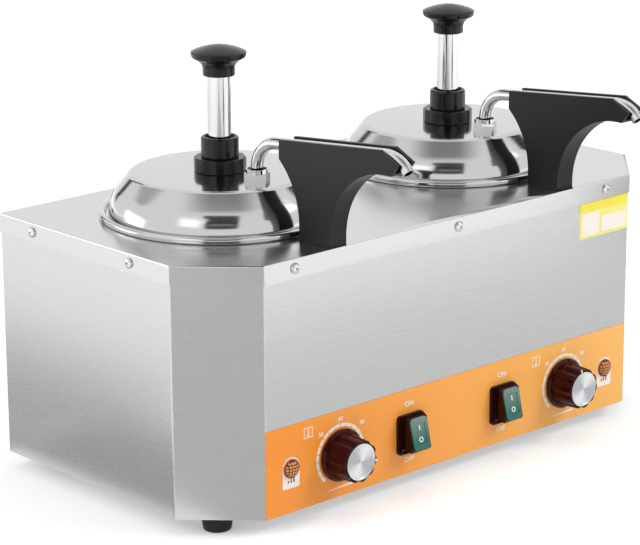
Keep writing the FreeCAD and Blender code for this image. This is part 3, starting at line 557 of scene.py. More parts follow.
def turned(outline: Sequence[Corner], closed: bool, steps: int, arc: int = 6) -> BMesh:
    """Turns an outline about the upright axis.

    Args:
        outline: the corners in order.
        closed: whether the last corner joins the first, as it does round a hollow ring.
        steps: how many faces go round.
        arc: how many faces make a rounding.

    Returns:
        A closed mesh round the origin.
    """
    bm = bmesh.new()
    verts = [bm.verts.new((c.radius, 0, c.height)) for c in outline]
    for start, end in zip(verts, verts[1:]):
        bm.edges.new((start, end))
    if closed:
        bm.edges.new((verts[-1], verts[0]))
    for vert, corner in zip(verts, outline):
        if corner.rounding:
            rounded(bm, [vert], corner.rounding, arc, "VERTICES")
    bmesh.ops.spin(
        bm, geom=bm.verts[:] + bm.edges[:], cent=(0, 0, 0), axis=(0, 0, 1), angle=math.tau, steps=steps,
        use_merge=True,
    )
    bmesh.ops.remove_doubles(bm, verts=bm.verts, dist=WELD)
    bmesh.ops.recalc_face_normals(bm, faces=bm.faces)
    return bm


def plate(
    x: float, z: float, width: float, height: float, thickness: float, corners: Sequence[float] = (0,) * 4
) -> BMesh:
    """A thin plate that faces the front, its back at y = 0.

    Args:
        x: the plate's middle along the cabinet.
        z: the plate's middle above the floor.
        width: its size along x.
        height: its size along z.
        thickness: how far it stands out to the front.
        corners: the rounding at its lower left, lower right, upper right and upper left.

    Returns:
        The closed plate.
    """
    bm = bmesh.new()
    places = [(-0.5, -0.5), (0.5, -0.5), (0.5, 0.5), (-0.5, 0.5)]
    verts = [bm.verts.new((x + u * width, 0, z + v * height)) for u, v in places]
    bm.faces.new(verts)
    for vert, corner in zip(verts, corners):
        if corner:
            rounded(bm, [vert], corner, CORNER_ARC, "VERTICES")
    return thickened(bm, thickness)


def band(
    x: float, z: float, inner: float, outer: float, thickness: float, steps: int,
    start: float = 0.0, sweep: float = 360.0,
) -> BMesh:
    """A flat ring, or a piece of one, that faces the front, its back at y = 0.

    Args:
        x: the ring's middle along the cabinet.
        z: the ring's middle above the floor.
        inner: its inner radius.
        outer: its outer radius.
        thickness: how far it stands out to the front.
        steps: how many faces follow the curve.
        start: where it starts, in degrees from +x towards +z.
        sweep: how far it goes on from there, in degrees.

    Returns:
        The closed band.
    """
    bm = bmesh.new()
    turn = math.radians(start)
    ends = [bm.verts.new((x + r * math.cos(turn), 0, z + r * math.sin(turn))) for r in (inner, outer)]
    edge = bm.edges.new(ends)
    bmesh.ops.spin(
        bm, geom=[*ends, edge], cent=(x, 0, z), axis=(0, -1, 0), angle=math.radians(sweep), steps=steps,
        use_merge=abs(sweep) >= 360,
    )
    return thickened(bm, thickness)


def meshed(bm: BMesh, name: str) -> Mesh:
    """Writes a shape into a new mesh.

    Args:
        bm: the shape. It is freed.
        name: the new mesh's name.

    Returns:
        The mesh.
    """
    mesh = bpy.data.meshes.new(name)
    bm.to_mesh(mesh)
    bm.free()
    return mesh


def linked(name: str, data: ID) -> Object:
    """Puts a new object into the scene.

    Args:
        name: its name.
        data: its mesh, curve, light or camera.

    Returns:
        The object.
    """
    made = bpy.data.objects.new(name, data)
    bpy.context.scene.collection.objects.link(made)
    return made


def joined(meshes: Iterable[BMesh]) -> BMesh:
    """Puts several meshes into one.

    Args:
        meshes: the meshes. They are freed.

    Returns:
        The one mesh.
    """
    whole = bmesh.new()
    for bm in meshes:
        carrier = meshed(bm, "carrier")
        whole.from_mesh(carrier)
        bpy.data.meshes.remove(carrier)
    return whole


def copied(node: str) -> BMesh:
    """Copies a CAD node's mesh, with its loose triangles joined into whole faces.

    Args:
        node: the CAD node's name.

    Returns:
        The mesh in millimetres.
    """
    bm = bmesh.new()
    bm.from_mesh(frame["nodes"][node].data)
    bmesh.ops.scale(bm, vec=(1 / MM, 1 / MM, 1 / MM), verts=bm.verts)
    bmesh.ops.remove_doubles(bm, verts=bm.verts, dist=COPY_WELD)
    bmesh.ops.dissolve_limit(bm, angle_limit=math.radians(FLAT_ANGLE), verts=bm.verts, edges=bm.edges)
    return bm


def islands(node: str) -> list[tuple[Vector, Vector]]:
    """Finds the separate solids of a grouped CAD node.

    Args:
        node: the CAD node's name.

    Returns:
        The lowest and highest corner of each solid, in millimetres.
    """
    bm = copied(node)
    left = set(bm.verts)
    found = []
    while left:
        stack = [left.pop()]
        group = []
        while stack:
            vert = stack.pop()
            group.append(vert.co.copy())
            for edge in vert.link_edges:
                other = edge.other_vert(vert)
                if other in left:
                    left.remove(other)
                    stack.append(other)
        least, most = (Vector(f(co[i] for co in group) for i in range(3)) for f in (min, max))
        found.append((least, most))
    bm.free()
    return found


def lettering(words: str, height: float, x: float, z: float, thickness: float) -> BMesh:
    """Plain figures or words that face the front, centred at x and z, their back at y = 0.

    Args:
        words: what is written.
        height: the height of a capital.
        x: the middle along the cabinet.
        z: the middle above the floor.
        thickness: how far the letters stand out.

    Returns:
        The letters as a closed mesh.
    """
    curve = bpy.data.curves.new("words", "FONT")
    curve.body = words
    curve.size = height / CAPITAL
    curve.align_x = "CENTER"
    curve.align_y = "CENTER"
    curve.extrude = thickness / 2
    curve.offset = height * BOLDER
    curve.resolution_u = 3
    holder = linked("words", curve)
    flat = bpy.data.meshes.new_from_object(holder.evaluated_get(bpy.context.evaluated_depsgraph_get()))
    bm = bmesh.new()
    bm.from_mesh(flat)
    bpy.data.objects.remove(holder)
    bpy.data.curves.remove(curve)
    bpy.data.meshes.remove(flat)
    bmesh.ops.remove_doubles(bm, verts=bm.verts, dist=WORD_WELD)
    return moved(facing_front(bm), x, -thickness / 2, z)


def finished(
    bm: BMesh,
    name: str,
    body: str,
    finish: Finish,
    replaces: Sequence[str] = (),
    edge: float = 0.0,
    crease: float = 35.0,
) -> Object:
    """Makes a mesh into a piece of the warmer that rides on a body.

    Args:
        bm: the mesh in millimetres, in place. It is freed.
        name: the piece's name.
        body: the CAD body that carries it.
        finish: what it is made of.
        replaces: the CAD nodes that it stands for.
        edge: how far its sharp edges are rounded, in millimetres.
        crease: the angle in degrees above which an edge stays sharp.

    Returns:
        The finished object.
    """
    bmesh.ops.scale(bm, vec=(MM, MM, MM), verts=bm.verts)
    mesh = meshed(bm, name)
    mesh.shade_smooth()
    mesh.set_sharp_from_angle(angle=math.radians(crease))
    mesh.materials.append(finish.material())
    piece = linked(name, mesh)
    if edge:
        soft = piece.modifiers.new("rounded edges", "BEVEL")
        soft.width = edge * MM
        soft.segments = EDGE_ARC
        soft.limit_method = "ANGLE"
        soft.angle_limit = math.radians(crease)
        level = piece.modifiers.new("true flats", "WEIGHTED_NORMAL")
        level.keep_sharp = True
    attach(piece, body)
    if replaces:
        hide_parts(*replaces)
    log.info("%s: %d faces on %s", name, len(mesh.polygons), body)
    return piece


def softened(
    node: str, name: str, body: str, finish: Finish, edge: float = 0.0, crease: float = 35.0
) -> Object:
    """Makes a CAD node's own mesh into the piece that stands for it."""
    return finished(copied(node), name, body, finish, [node], edge=edge, crease=crease)


def dressed(nodes: Iterable[str], finish: Finish) -> None:
    """Gives CAD nodes that stay as they are their finish.

    Args:
        nodes: the CAD nodes' names.
        finish: what they are made of.
    """
    for node in nodes:
        data = frame["nodes"][node].data
        data.materials.clear()
        data.materials.append(finish.material())
        log.info("%s keeps its CAD mesh in %s", node, finish.name)


# The warmer's finishes

# Brushed stainless sheet, belt ground level: a soft grey sheen with hardly a line to be seen.
SHELL_STEEL = BrushedSheet(
    "brushed_stainless_sheet", "cdcdcc", 0.27, cloud=0.006, cloud_size=220.0, depth=0.0003,
    gloss_spread=0.008,
)
# Satin stainless sheet, ground along its length: a clearer mirror than the shell's, still soft.
COVER_STEEL = BrushedSheet(
    "satin_stainless_cover", "d2d2d2", 0.2, cloud=0.008, cloud_size=200.0, grain=Grain.ALONG,
    depth=0.0008, gloss_spread=0.015,
)
# Cold headed steel screws, tumbled bright: small hard glints round a dark cross.
SCREW_STEEL = Finish("bright_steel_screws", "dcdcda", 0.22, metallic=1.0, cloud=0.05, cloud_size=4.0)
# Chrome plate over polished steel: an even, almost sharp mirror.
CHROME = Finish(
    "chrome_plated_steel", "d6d6d8", 0.07, metallic=1.0, cloud=0.015, cloud_size=30.0, depth=0.001,
    gloss_spread=0.02,
)
# Stainless wire and tube as drawn: bright, a little uneven along its length.
BRIGHT_STEEL = Finish(
    "bright_drawn_stainless", "cfcfcd", 0.24, metallic=1.0, cloud=0.03, cloud_size=40.0, depth=0.006
)
# Stainless, deep drawn and polished by hand: a mirror that the water has dulled in places.
BATH_STEEL = Finish(
    "polished_bath_steel", "cfcfd0", 0.11, metallic=1.0, cloud=0.02, cloud_size=50.0, depth=0.002,
    gloss_spread=0.03,
)
# Polyester film, screen printed in a fade and lacquered: a satin orange that pales to the right.
ORANGE_FILM = PrintedFilm("orange_printed_film", "ff9626", 0.4, far_shade="ffbd60", grit=0.5, depth=0.004)
# Screen printed inks, cured flat: even, matt and a little raised.
WHITE_INK = Finish("white_screen_ink", "fff1e8", 0.5, cloud=0.02, cloud_size=8.0, grit=0.4, depth=0.004)
GREY_INK = Finish("grey_screen_ink", "4d5058", 0.5, cloud=0.05, cloud_size=8.0, grit=0.4, depth=0.004)
PALE_YELLOW_INK = Finish(
    "pale_yellow_label_ink", "f4ee86", 0.45, cloud=0.02, cloud_size=8.0, grit=0.4, depth=0.004
)
YELLOW_INK = Finish("yellow_screen_ink", "f7e843", 0.45, cloud=0.02, cloud_size=8.0, grit=0.4, depth=0.004)
# Black ABS from a lightly blasted mould: deep black with a broad soft highlight.
BLACK_SATIN = Finish("black_satin_abs", "0e0e0f", 0.36, ior=1.36, cloud=0.12, grit=0.5, depth=0.006)
# Black phenolic from a polished mould, buffed: a wet black with narrow highlights.
BLACK_GLOSS = Finish(
    "black_polished_phenolic", "0e0e0f", 0.16, ior=1.4, cloud=0.1, cloud_size=20.0, grit=0.6, depth=0.003
)
# Dark brown phenolic from a polished mould: red only where the light is strong.
BROWN_PHENOLIC = Finish(
    "dark_brown_phenolic", "370503", 0.13, ior=1.27, cloud=0.15, cloud_size=12.0, grit=0.5, depth=0.003
)
# Dark brown nylon, moulded with a faint bloom: softer than the knobs.
SWITCH_NYLON = Finish(
    "dark_brown_nylon", "260703", 0.27, ior=1.27, cloud=0.15, cloud_size=12.0, grit=0.4, depth=0.006
)
# Carbon filled rubber, pressed in a rough mould: dull, with hardly a highlight.
RUBBER = Finish(
    "black_foot_rubber", "141414", 0.62, ior=1.4, cloud=0.15, cloud_size=10.0, grit=0.4, depth=0.02
)
# Natural acetal, turned from rod: milky, waxy and even.
ACETAL = Finish("natural_acetal", "e6e3da", 0.35, ior=1.48, cloud=0.02, cloud_size=20.0, depth=0.004)
# White nylon, moulded: a plain soft white.
WHITE_NYLON = Finish("white_nylon", "e9e9e6", 0.4, ior=1.53, cloud=0.03, cloud_size=20.0, depth=0.006)
# Wood filled phenolic, pressed: brown, mottled and half dull.
PHENOLIC_BODY = Finish("phenolic_switch_body", "3a2117", 0.45, ior=1.58, cloud=0.1, cloud_size=15.0)
# Pressed aluminium plate, left as rolled: a dull grey with clouds.
HEATER_PLATE = Finish(
    "pressed_aluminium_heater", "a9a9a6", 0.42, metallic=1.0, cloud=0.1, cloud_size=25.0, depth=0.03
)
# Amber polycarbonate with prisms moulded inside: the prism grid's squares painted bright between brown
# grooves, a painted glow.
AMBER_LENS = Waffle("amber_prismatic_lens", "ffb264", 0.18, ior=1.49, depth=0.25)
# Amber polycarbonate without prisms, polished: a dark orange ring with a sharp glint.
AMBER_RIM = Finish(
    "amber_lamp_bezel", "9c4410", 0.2, ior=1.49, cloud=0.1, cloud_size=6.0, grit=0.5, depth=0.004
)


@dataclass
class SheetCabinet:
    """The bent stainless cabinet: shell, cover with its skirt, back, base and the plain label."""

    body: str = "cabinet"
    bend: float = 1.0
    bend_arc: int = 5
    least_bend: float = 30.0
    most_bend: float = 60.0
    edge: float = 0.25
    hole_reach: float = 92.0
    label_x: float = 160.7
    label_z: float = 168.3
    label_width: float = 55.5
    label_height: float = 28.0
    label_head: float = 7.2
    label_corner: float = 0.6
    label_thickness: float = 0.1
    fields: tuple[tuple[float, float, float, float], ...] = (
        (-15.2, 3.2, 19.4, 17.6), (11.6, 5.4, 28.4, 12.4)
    )
    field_corner: float = 0.3

    def rounded_bends(self, node: str) -> BMesh:
        """Copies a sheet and rounds its upright bends.

        Args:
            node: the sheet's CAD node.

        Returns:
            The sheet's mesh.
        """
        bm = copied(node)
        least, most = math.radians(self.least_bend), math.radians(self.most_bend)
        bends = [
            e for e in bm.edges
            if len(e.link_faces) == 2
            and least < e.calc_face_angle(0.0) < most
            and abs((e.verts[0].co - e.verts[1].co).normalized().z) > 1 - TINY
        ]
        rounded(bm, bends, self.bend, self.bend_arc, "EDGES")
        return bm

    def cover(self) -> BMesh:
        """The top sheet, folded down all round into a skirt.

        Returns:
            The sheet's mesh, its folds rounded and the rims of its round holes left sharp.
        """
        bm = self.rounded_bends("top_cover")
        top = high("top_cover").z
        stations = [middle(f"lid_{side.value}") for side in Side]
        folds = []
        for edge in bm.edges:
            centre = (edge.verts[0].co + edge.verts[1].co) / 2
            away = min((centre - Vector((s.x, s.y, centre.z))).length for s in stations)
            level = abs(edge.verts[0].co.z - top) + abs(edge.verts[1].co.z - top) < TINY
            if level and away > self.hole_reach and edge.calc_face_angle(0.0) > math.radians(self.most_bend):
                if edge.calc_length() > 2 * self.bend:
                    folds.append(edge)
        rounded(bm, folds, self.bend, self.bend_arc, "EDGES")
        return bm

    def label(self) -> None:
        """A plain label with a brighter head and two pale fields, with nothing on it."""
        front, step, turn = low("cabinet_shell").y, self.label_thickness, self.label_corner
        body = plate(self.label_x, self.label_z, self.label_width, self.label_height, step, [turn] * 4)
        finished(moved(body, 0, front, 0), "label", self.body, PALE_YELLOW_INK)
        head_z = self.label_z + (self.label_height - self.label_head) / 2
        head = plate(self.label_x, head_z, self.label_width, self.label_head, step, [0, 0, turn, turn])
        finished(moved(head, 0, front - step, 0), "label_head", self.body, YELLOW_INK)
        fields = [
            plate(self.label_x + across, self.label_z - down, width, height, step, [self.field_corner] * 4)
            for across, down, width, height in self.fields
        ]
        finished(moved(joined(fields), 0, front - step, 0), "label_fields", self.body, WHITE_INK)

    def build(self) -> None:
        """Makes the shell and the cover, dresses the flat back and base, and adds the label."""
        shell, cover = "cabinet_shell", "top_cover"
        bm = self.rounded_bends(shell)
        finished(bm, "shell", self.body, SHELL_STEEL, [shell], edge=self.edge)
        finished(self.cover(), "cover", self.body, COVER_STEEL, [cover], edge=self.edge)
        dressed(["back_panel", "base_plate"], SHELL_STEEL)
        self.label()


@dataclass
class Fasteners:
    """Pan head screws with a cross recess, at the places of the CAD screws."""

    body: str = "cabinet"
    head_radius: float = 3.9
    head_height: float = 2.2
    foot_rounding: float = 0.3
    shoulder: float = 0.55
    shoulder_rounding: float = 1.0
    crown_radius: float = 2.2
    crown_rounding: float = 0.8
    recess_length: float = 2.3
    recess_width: float = 0.8
    recess_depth: float = 1.3
    recess_turn: float = 37.0
    shank_radius: float = 1.9
    shank_length: float = 4.5
    facets: int = 32
    arc: int = 3

    def screw(self, turn: float) -> BMesh:
        """One screw that stands on the origin with its shank below.

        Args:
            turn: how far its recess is turned, in degrees.

        Returns:
            The screw with its recess cut.
        """
        outline = [
            Corner(0, -self.shank_length),
            Corner(self.shank_radius, -self.shank_length),
            Corner(self.shank_radius, 0),
            Corner(self.head_radius, 0, self.foot_rounding),
            Corner(self.head_radius, self.head_height * self.shoulder, self.shoulder_rounding),
            Corner(self.crown_radius, self.head_height, self.crown_rounding),
            Corner(0, self.head_height),
        ]
        meshes = [turned(outline, closed=False, steps=self.facets, arc=self.arc)]
        for way in (turn, turn + 90):
            bar = bmesh.new()
            bmesh.ops.create_cube(bar, size=1)
            size = (self.recess_length, self.recess_width, 2 * self.recess_depth)
            bmesh.ops.scale(bar, vec=size, verts=bar.verts)
            meshes.append(moved(rotated(bar, about("Z", way)), 0, 0, self.head_height))
        return self.cut(meshes)

    def cut(self, meshes: list[BMesh]) -> BMesh:
        """Cuts tools out of a screw with live booleans, and reads the result back.

        Args:
            meshes: the screw and then the tools. They are freed.

        Returns:
            The cut screw.
        """
        holders = [linked("blank", meshed(bm, "blank")) for bm in meshes]
        for tool in holders[1:]:
            cutter = holders[0].modifiers.new("recess", "BOOLEAN")
            cutter.operation = "DIFFERENCE"
            cutter.solver = "EXACT"
            cutter.object = tool
        evaluated = holders[0].evaluated_get(bpy.context.evaluated_depsgraph_get())
        result = bmesh.new()
        result.from_mesh(evaluated.to_mesh())
        for holder in holders:
            bpy.data.objects.remove(holder)
        return result

    def placed(self, ends: tuple[Vector, Vector], number: int, core: Vector) -> BMesh:
        """Puts a screw where a CAD screw is.

        Args:
            ends: the CAD screw's lowest and highest corner.
            number: which screw it is, to turn each recess another way.
            core: the cabinet's middle, from which each screw points away.

        Returns:
            The screw in place.
        """
        start, end = ends
        size = end - start
        along = max(range(3), key=lambda i: abs(size[i] - 2 * self.head_radius))
        seat = (start + end) / 2
        outward = 1 if seat[along] > core[along] else -1
        direction = Vector((0, 0, 0))
        direction[along] = outward
        bm = rotated(self.screw(number * self.recess_turn), direction.to_track_quat("Z", "Y").to_matrix())
        seat[along] = (end[along] if outward > 0 else start[along]) - outward * self.head_height
        return moved(bm, *seat)

    def build(self) -> None:
        """Makes the cover, back and base screws, and dresses the foot screws."""
        core = middle("cabinet_shell")
        for node, name in (("case_screws", "pan_screws"), ("base_screws", "under_screws")):
            screws = [self.placed(ends, i, core) for i, ends in enumerate(islands(node))]
            finished(joined(screws), name, self.body, SCREW_STEEL, [node], crease=30)
        dressed(["foot_screws"], SCREW_STEEL)


@dataclass
class Feet:
    """Moulded rubber feet with a recess for their screws."""

    body: str = "cabinet"
    top_radius: float = 11.7
    top_rounding: float = 0.4
    bottom_radius: float = 10.0
    taper: float = 0.2
    side_rounding: float = 0.5
    recess_radius: float = 5.0
    recess_depth: float = 7.0
    recess_rounding: float = 0.4
    bore: float = 2.1
    rounding: float = 1.6
    facets: int = 64

    def build(self) -> None:
        """Makes the four feet as one piece."""
        feet = []
        for start, end in islands("rubber_feet"):
            height = end.z - start.z
            outline = [
                Corner(self.bore, height),
                Corner(self.top_radius, height, self.top_rounding),
                Corner(self.bottom_radius + self.taper, self.rounding, self.side_rounding),
                Corner(self.bottom_radius - self.taper, 0, self.rounding),
                Corner(self.recess_radius, 0, self.recess_rounding),
                Corner(self.recess_radius, self.recess_depth),
                Corner(self.bore, self.recess_depth),
            ]
            centre = (start + end) / 2
            foot = turned(outline, closed=True, steps=self.facets)
            feet.append(moved(foot, centre.x, centre.y, start.z))
        finished(joined(feet), "moulded_feet", self.body, RUBBER, ["rubber_feet"])


@dataclass
class ControlPanel:
    """The orange film with its white prints, the lamps and their plates."""

    body: str = "cabinet"
    ink: float = 0.08
    dial_inner: float = 20.9
    dial_outer: float = 23.4
    dial_start: float = 227.0
    dial_sweep: float = 274.0
    dial_marks: int = 18
    dial_gap: float = 1.6
    dial_facets: int = 5
    figure_height: float = 3.2
    figures: tuple[tuple[str, float, float], ...] = (
        ("30", -19.0, 19.3), ("60", 0.2, 26.9), ("90", 21.2, 19.3)
    )
    wedge_width: float = 24.0
    wedge_height: float = 1.8
    wedge_drop: float = 25.0
    gauge_x: float = 31.0
    gauge_z: float = 24.0
    gauge_width: float = 8.2
    gauge_height: float = 7.8
    gauge_line: float = 0.55
    gauge_stem: float = 0.88
    bulb_inner: float = 0.2
    bulb_facets: int = 16
    word_height: float = 3.9
    word_up: float = 22.2
    word_down: float = 20.6
    plate_width: float = 16.0
    plate_height: float = 23.2
    plate_drop: float = 3.1
    plate_corner: float = 1.6
    mark_step: float = 2.6
    mark_width: float = 1.2
    mark_heights: tuple[float, ...] = (2.0, 2.8, 3.6)
    mark_drop: float = 7.6
    mark_corner: float = 0.3
    lamp_radius: float = 5.9
    lamp_rim: float = 1.2
    lamp_rounding: float = 0.5
    lamp_crown: float = 0.62
    lamp_dome: float = 3.6
    lamp_edge: float = 0.2
    lamp_facets: int = 64
    dome_rounding: float = 0.4

    def dial(self, side: Side) -> list[BMesh]:
        """The segmented dial round a knob, its figures and its two marks.

        Args:
            side: which station's knob.

        Returns:
            The prints, their backs at y = 0.
        """
        knob = middle(f"knob_cap_{side.value}")
        step = self.dial_sweep / self.dial_marks
        prints = [
            band(
                knob.x, knob.z, self.dial_inner, self.dial_outer, self.ink, self.dial_facets,
                start=self.dial_start - i * step, sweep=self.dial_gap - step,
            )
            for i in range(self.dial_marks)
        ]
        for words, across, up in self.figures:
            prints.append(lettering(words, self.figure_height, knob.x + across, knob.z + up, self.ink))
        wedge = bmesh.new()
        half, tall = self.wedge_width / 2, self.wedge_height
        base = knob.z - self.wedge_drop
        corners = [(-half, 0), (half, 0), (half, tall), (-half, tall / 6)]
        wedge.faces.new([wedge.verts.new((knob.x + u, 0, base + v)) for u, v in corners])
        prints.append(thickened(wedge, self.ink))
        return prints + self.gauge(knob.x - self.gauge_x, knob.z + self.gauge_z)

    def gauge(self, x: float, z: float) -> list[BMesh]:
        """A small framed temperature gauge mark.

        Args:
            x: its middle along the cabinet.
            z: its middle above the floor.

        Returns:
            The frame's four sides, the stem and the bulb, their backs at y = 0.
        """
        line, width, height, ink = self.gauge_line, self.gauge_width, self.gauge_height, self.ink
        marks = [plate(x, z + s * (height - line) / 2, width, line, ink) for s in (-1, 1)]
        marks += [plate(x + s * (width - line) / 2, z, line, height - 2 * line, ink) for s in (-1, 1)]
        marks.append(plate(x, z + height / 12, self.gauge_stem, height / 2, ink, [self.mark_corner] * 4))
        marks.append(band(x, z - height / 4, self.bulb_inner, height / 7, ink, self.bulb_facets))
        return marks

    def prints(self) -> None:
        """Everything that is printed in white on the film."""
        marks = []
        for side in Side:
            marks += self.dial(side)
            switch = middle(f"rocker_window_{side.value}")
            centre = middle("switch_housings").z
            marks.append(lettering("ON", self.word_height, switch.x, centre + self.word_up, self.ink))
            marks.append(lettering("OFF", self.word_height, switch.x, centre - self.word_down, self.ink))
        face = low("control_panel").y
        finished(moved(joined(marks), 0, face, 0), "film_prints", self.body, WHITE_INK, crease=60)

    def lamps(self) -> None:
        """The lamps' white plates with their marks, their rims and their prismatic lenses."""
        plates, marks, lenses = [], [], []
        top = self.plate_width / 2 - TINY
        radius, crown = self.lamp_radius, self.lamp_radius * self.lamp_crown
        outline = [
            Corner(0, 0),
            Corner(radius, 0),
            Corner(radius, self.lamp_rim, self.lamp_rounding),
            Corner(crown, self.lamp_dome, radius * self.dome_rounding),
            Corner(0, self.lamp_dome),
        ]
        for start, end in islands("lamp_holders"):
            x, z = (start.x + end.x) / 2, (start.z + end.z) / 2
            drop = z - self.plate_drop
            rounding = [self.plate_corner, self.plate_corner, top, top]
            plates.append(plate(x, drop, self.plate_width, self.plate_height, self.ink, rounding))
            for i, tall in enumerate(self.mark_heights):
                across, up = x + self.mark_step * (i - 1), drop - self.mark_drop + tall / 2
                marks.append(plate(across, up, self.mark_width, tall, self.ink, [self.mark_corner] * 4))
            dome = turned(outline, closed=False, steps=self.lamp_facets)
            lenses.append(moved(facing_front(dome), x, high("lamp_lenses").y, z))
        face = low("control_panel").y
        for meshes, name, ink, y in (
            (plates, "lamp_plates", WHITE_INK, face), (marks, "lamp_marks", GREY_INK, face - self.ink)
        ):
            finished(moved(joined(meshes), 0, y, 0), name, self.body, ink, crease=60)
        finished(joined(lenses), "prismatic_lenses", self.body, AMBER_LENS, ["lamp_lenses"])
        softened("lamp_holders", "lamp_rims", self.body, AMBER_RIM, edge=self.lamp_edge)

    def build(self) -> None:
        """Makes the film, its prints and the lamps."""
        dressed(["control_panel"], ORANGE_FILM)
        self.prints()
        self.lamps()


@dataclass
class Knob:
    """A fluted thermostat knob with its spun cap and white pointer line."""

    side: Side
    pointer: float
    skirt_radius: float = 19.5
    skirt_depth: float = 3.2
    skirt_bevel: float = 1.4
    base_radius: float = 16.6
    face_radius: float = 15.6
    seat_radius: float = 13.85
    seat_depth: float = 0.9
    rounding: float = 0.3
    rim_rounding: float = 0.5
    flutes: int = 10
    flute_cells: int = 24
    arc: int = 3
    flute_bite: float = 1.15
    flute_reach: float = 11.5
    cap_edge: float = 0.15
    line_start: float = 13.9
    line_end: float = 16.0
    line_width: float = 1.3
    line_depth: float = 0.25
    line_sink: float = 0.05

    def grip(self, depth: float) -> BMesh:
        """The moulding with its back at y = 0, its flutes running out through the front rim.

        Args:
            depth: how far it stands out to the front.

        Returns:
            A closed mesh about the y axis.
        """
        skirt, base, seat = self.skirt_radius, self.base_radius, self.seat_radius
        outline = [
            Corner(0, 0),
            Corner(skirt, 0, self.rounding),
            Corner(skirt, self.skirt_depth - self.skirt_bevel),
            Corner(skirt - self.skirt_bevel, self.skirt_depth),
            Corner(base, self.skirt_depth, self.rounding),
            Corner(self.face_radius, depth, self.rim_rounding),
            Corner(seat, depth),
            Corner(seat, depth - self.seat_depth),
            Corner(0, depth - self.seat_depth),
        ]
        bm = turned(outline, closed=False, steps=self.flute_cells * self.flutes, arc=self.arc)
        pitch = math.tau / self.flutes
        for vert in bm.verts:
            radius = vert.co.xy.length
            if vert.co.z > self.skirt_depth - TINY and seat + TINY < radius < base + self.skirt_bevel / 2:
                angle = math.atan2(vert.co.y, vert.co.x) - math.radians(self.pointer)
                away = math.degrees(abs(angle % pitch - pitch / 2)) / self.flute_reach
                vert.co.xy *= 1 - self.flute_bite * max(0.0, 1 - away * away) / radius
        return facing_front(bm)

    def build(self) -> None:
        """Makes the knob, its cap and its pointer."""
        name = self.side.value
        body, knob, cap = f"thermostat_{name}", f"thermostat_knob_{name}", f"knob_cap_{name}"
        centre, front, back = middle(cap), low(knob).y, high(knob).y
        grip = moved(self.grip(back - front), centre.x, back, centre.z)
        finished(grip, f"fluted_knob_{name}", body, BROWN_PHENOLIC, [knob])
        # Aluminium disc, faced on a lathe: bright, with fine rings and two painted sheen wedges, a painted
        # reflection.
        spun = SpunSteel(
            f"spun_aluminium_{name}", "f4f4f6", 0.22, centre=(centre.x, centre.z), ring_width=0.5,
            level=False, cloud=0.02, cloud_size=10.0, depth=0.004, sheen_turn=60.0, sheen_dark="c4c4c9",
        )
        softened(cap, f"spun_cap_{name}", body, spun, edge=self.cap_edge)
        reach = self.line_end - self.line_start
        line = plate((self.line_start + self.line_end) / 2, 0, reach, self.line_width, self.line_depth)
        line = moved(rotated(line, about("Y", -self.pointer)), centre.x, front + self.line_sink, centre.z)
        finished(line, f"pointer_{name}", body, WHITE_INK, crease=60)
        dressed([f"knob_spindle_{name}"], BRIGHT_STEEL)


@dataclass
class RockerSwitch:
    """A lit rocker, its window and the two plain marks on it."""

    side: Side
    tilt: float = 13.0
    edge: float = 0.5
    window_edge: float = 0.45
    fade_below: float = 6.0
    fade_above: float = 13.0
    mark_rise: float = 4.4
    mark_sink: float = 0.4
    bar_width: float = 0.95
    bar_height: float = 3.8
    bar_corner: float = 0.2
    ring_outer: float = 2.0
    ring_inner: float = 1.25
    ring_facets: int = 24
    ink: float = 0.08

    def build(self) -> None:
        """Makes the rocker, its window and its marks."""
        name = self.side.value
        body, pane = f"rocker_{name}", f"rocker_window_{name}"
        joint = next(j for j in frame["joints"] if j["child"] == body)
        pivot = Vector(joint["pos_m"]) / MM
        window = middle(pane)
        # Green polycarbonate over a pale lamp, polished: painted dark at the foot and painted milky light at
        # the top, a painted glow.
        glass = Translucent(
            f"green_switch_window_{name}", "0f6b5c", 0.16, ior=1.49, glow="7f9b93", clear=0.2,
            low_z=window.z - self.fade_below, high_z=window.z + self.fade_above, cloud_size=15.0, grit=0.6,
            depth=0.003,
        )
        softened(body, f"{body}_moulding", body, SWITCH_NYLON, edge=self.edge)
        softened(pane, f"{body}_glass", body, glass, edge=self.window_edge)
        turn = about("X", -self.tilt)
        away = turn.transposed() @ (window - pivot)
        marks = [
            plate(0, self.mark_rise, self.bar_width, self.bar_height, self.ink, [self.bar_corner] * 4),
            band(0, -self.mark_rise, self.ring_inner, self.ring_outer, self.ink, self.ring_facets),
        ]
        both = moved(joined(marks), window.x - pivot.x, away.y - self.mark_sink, 0)
        both = moved(rotated(both, turn), *pivot)
        finished(both, f"{body}_marks", body, WHITE_INK, crease=60)


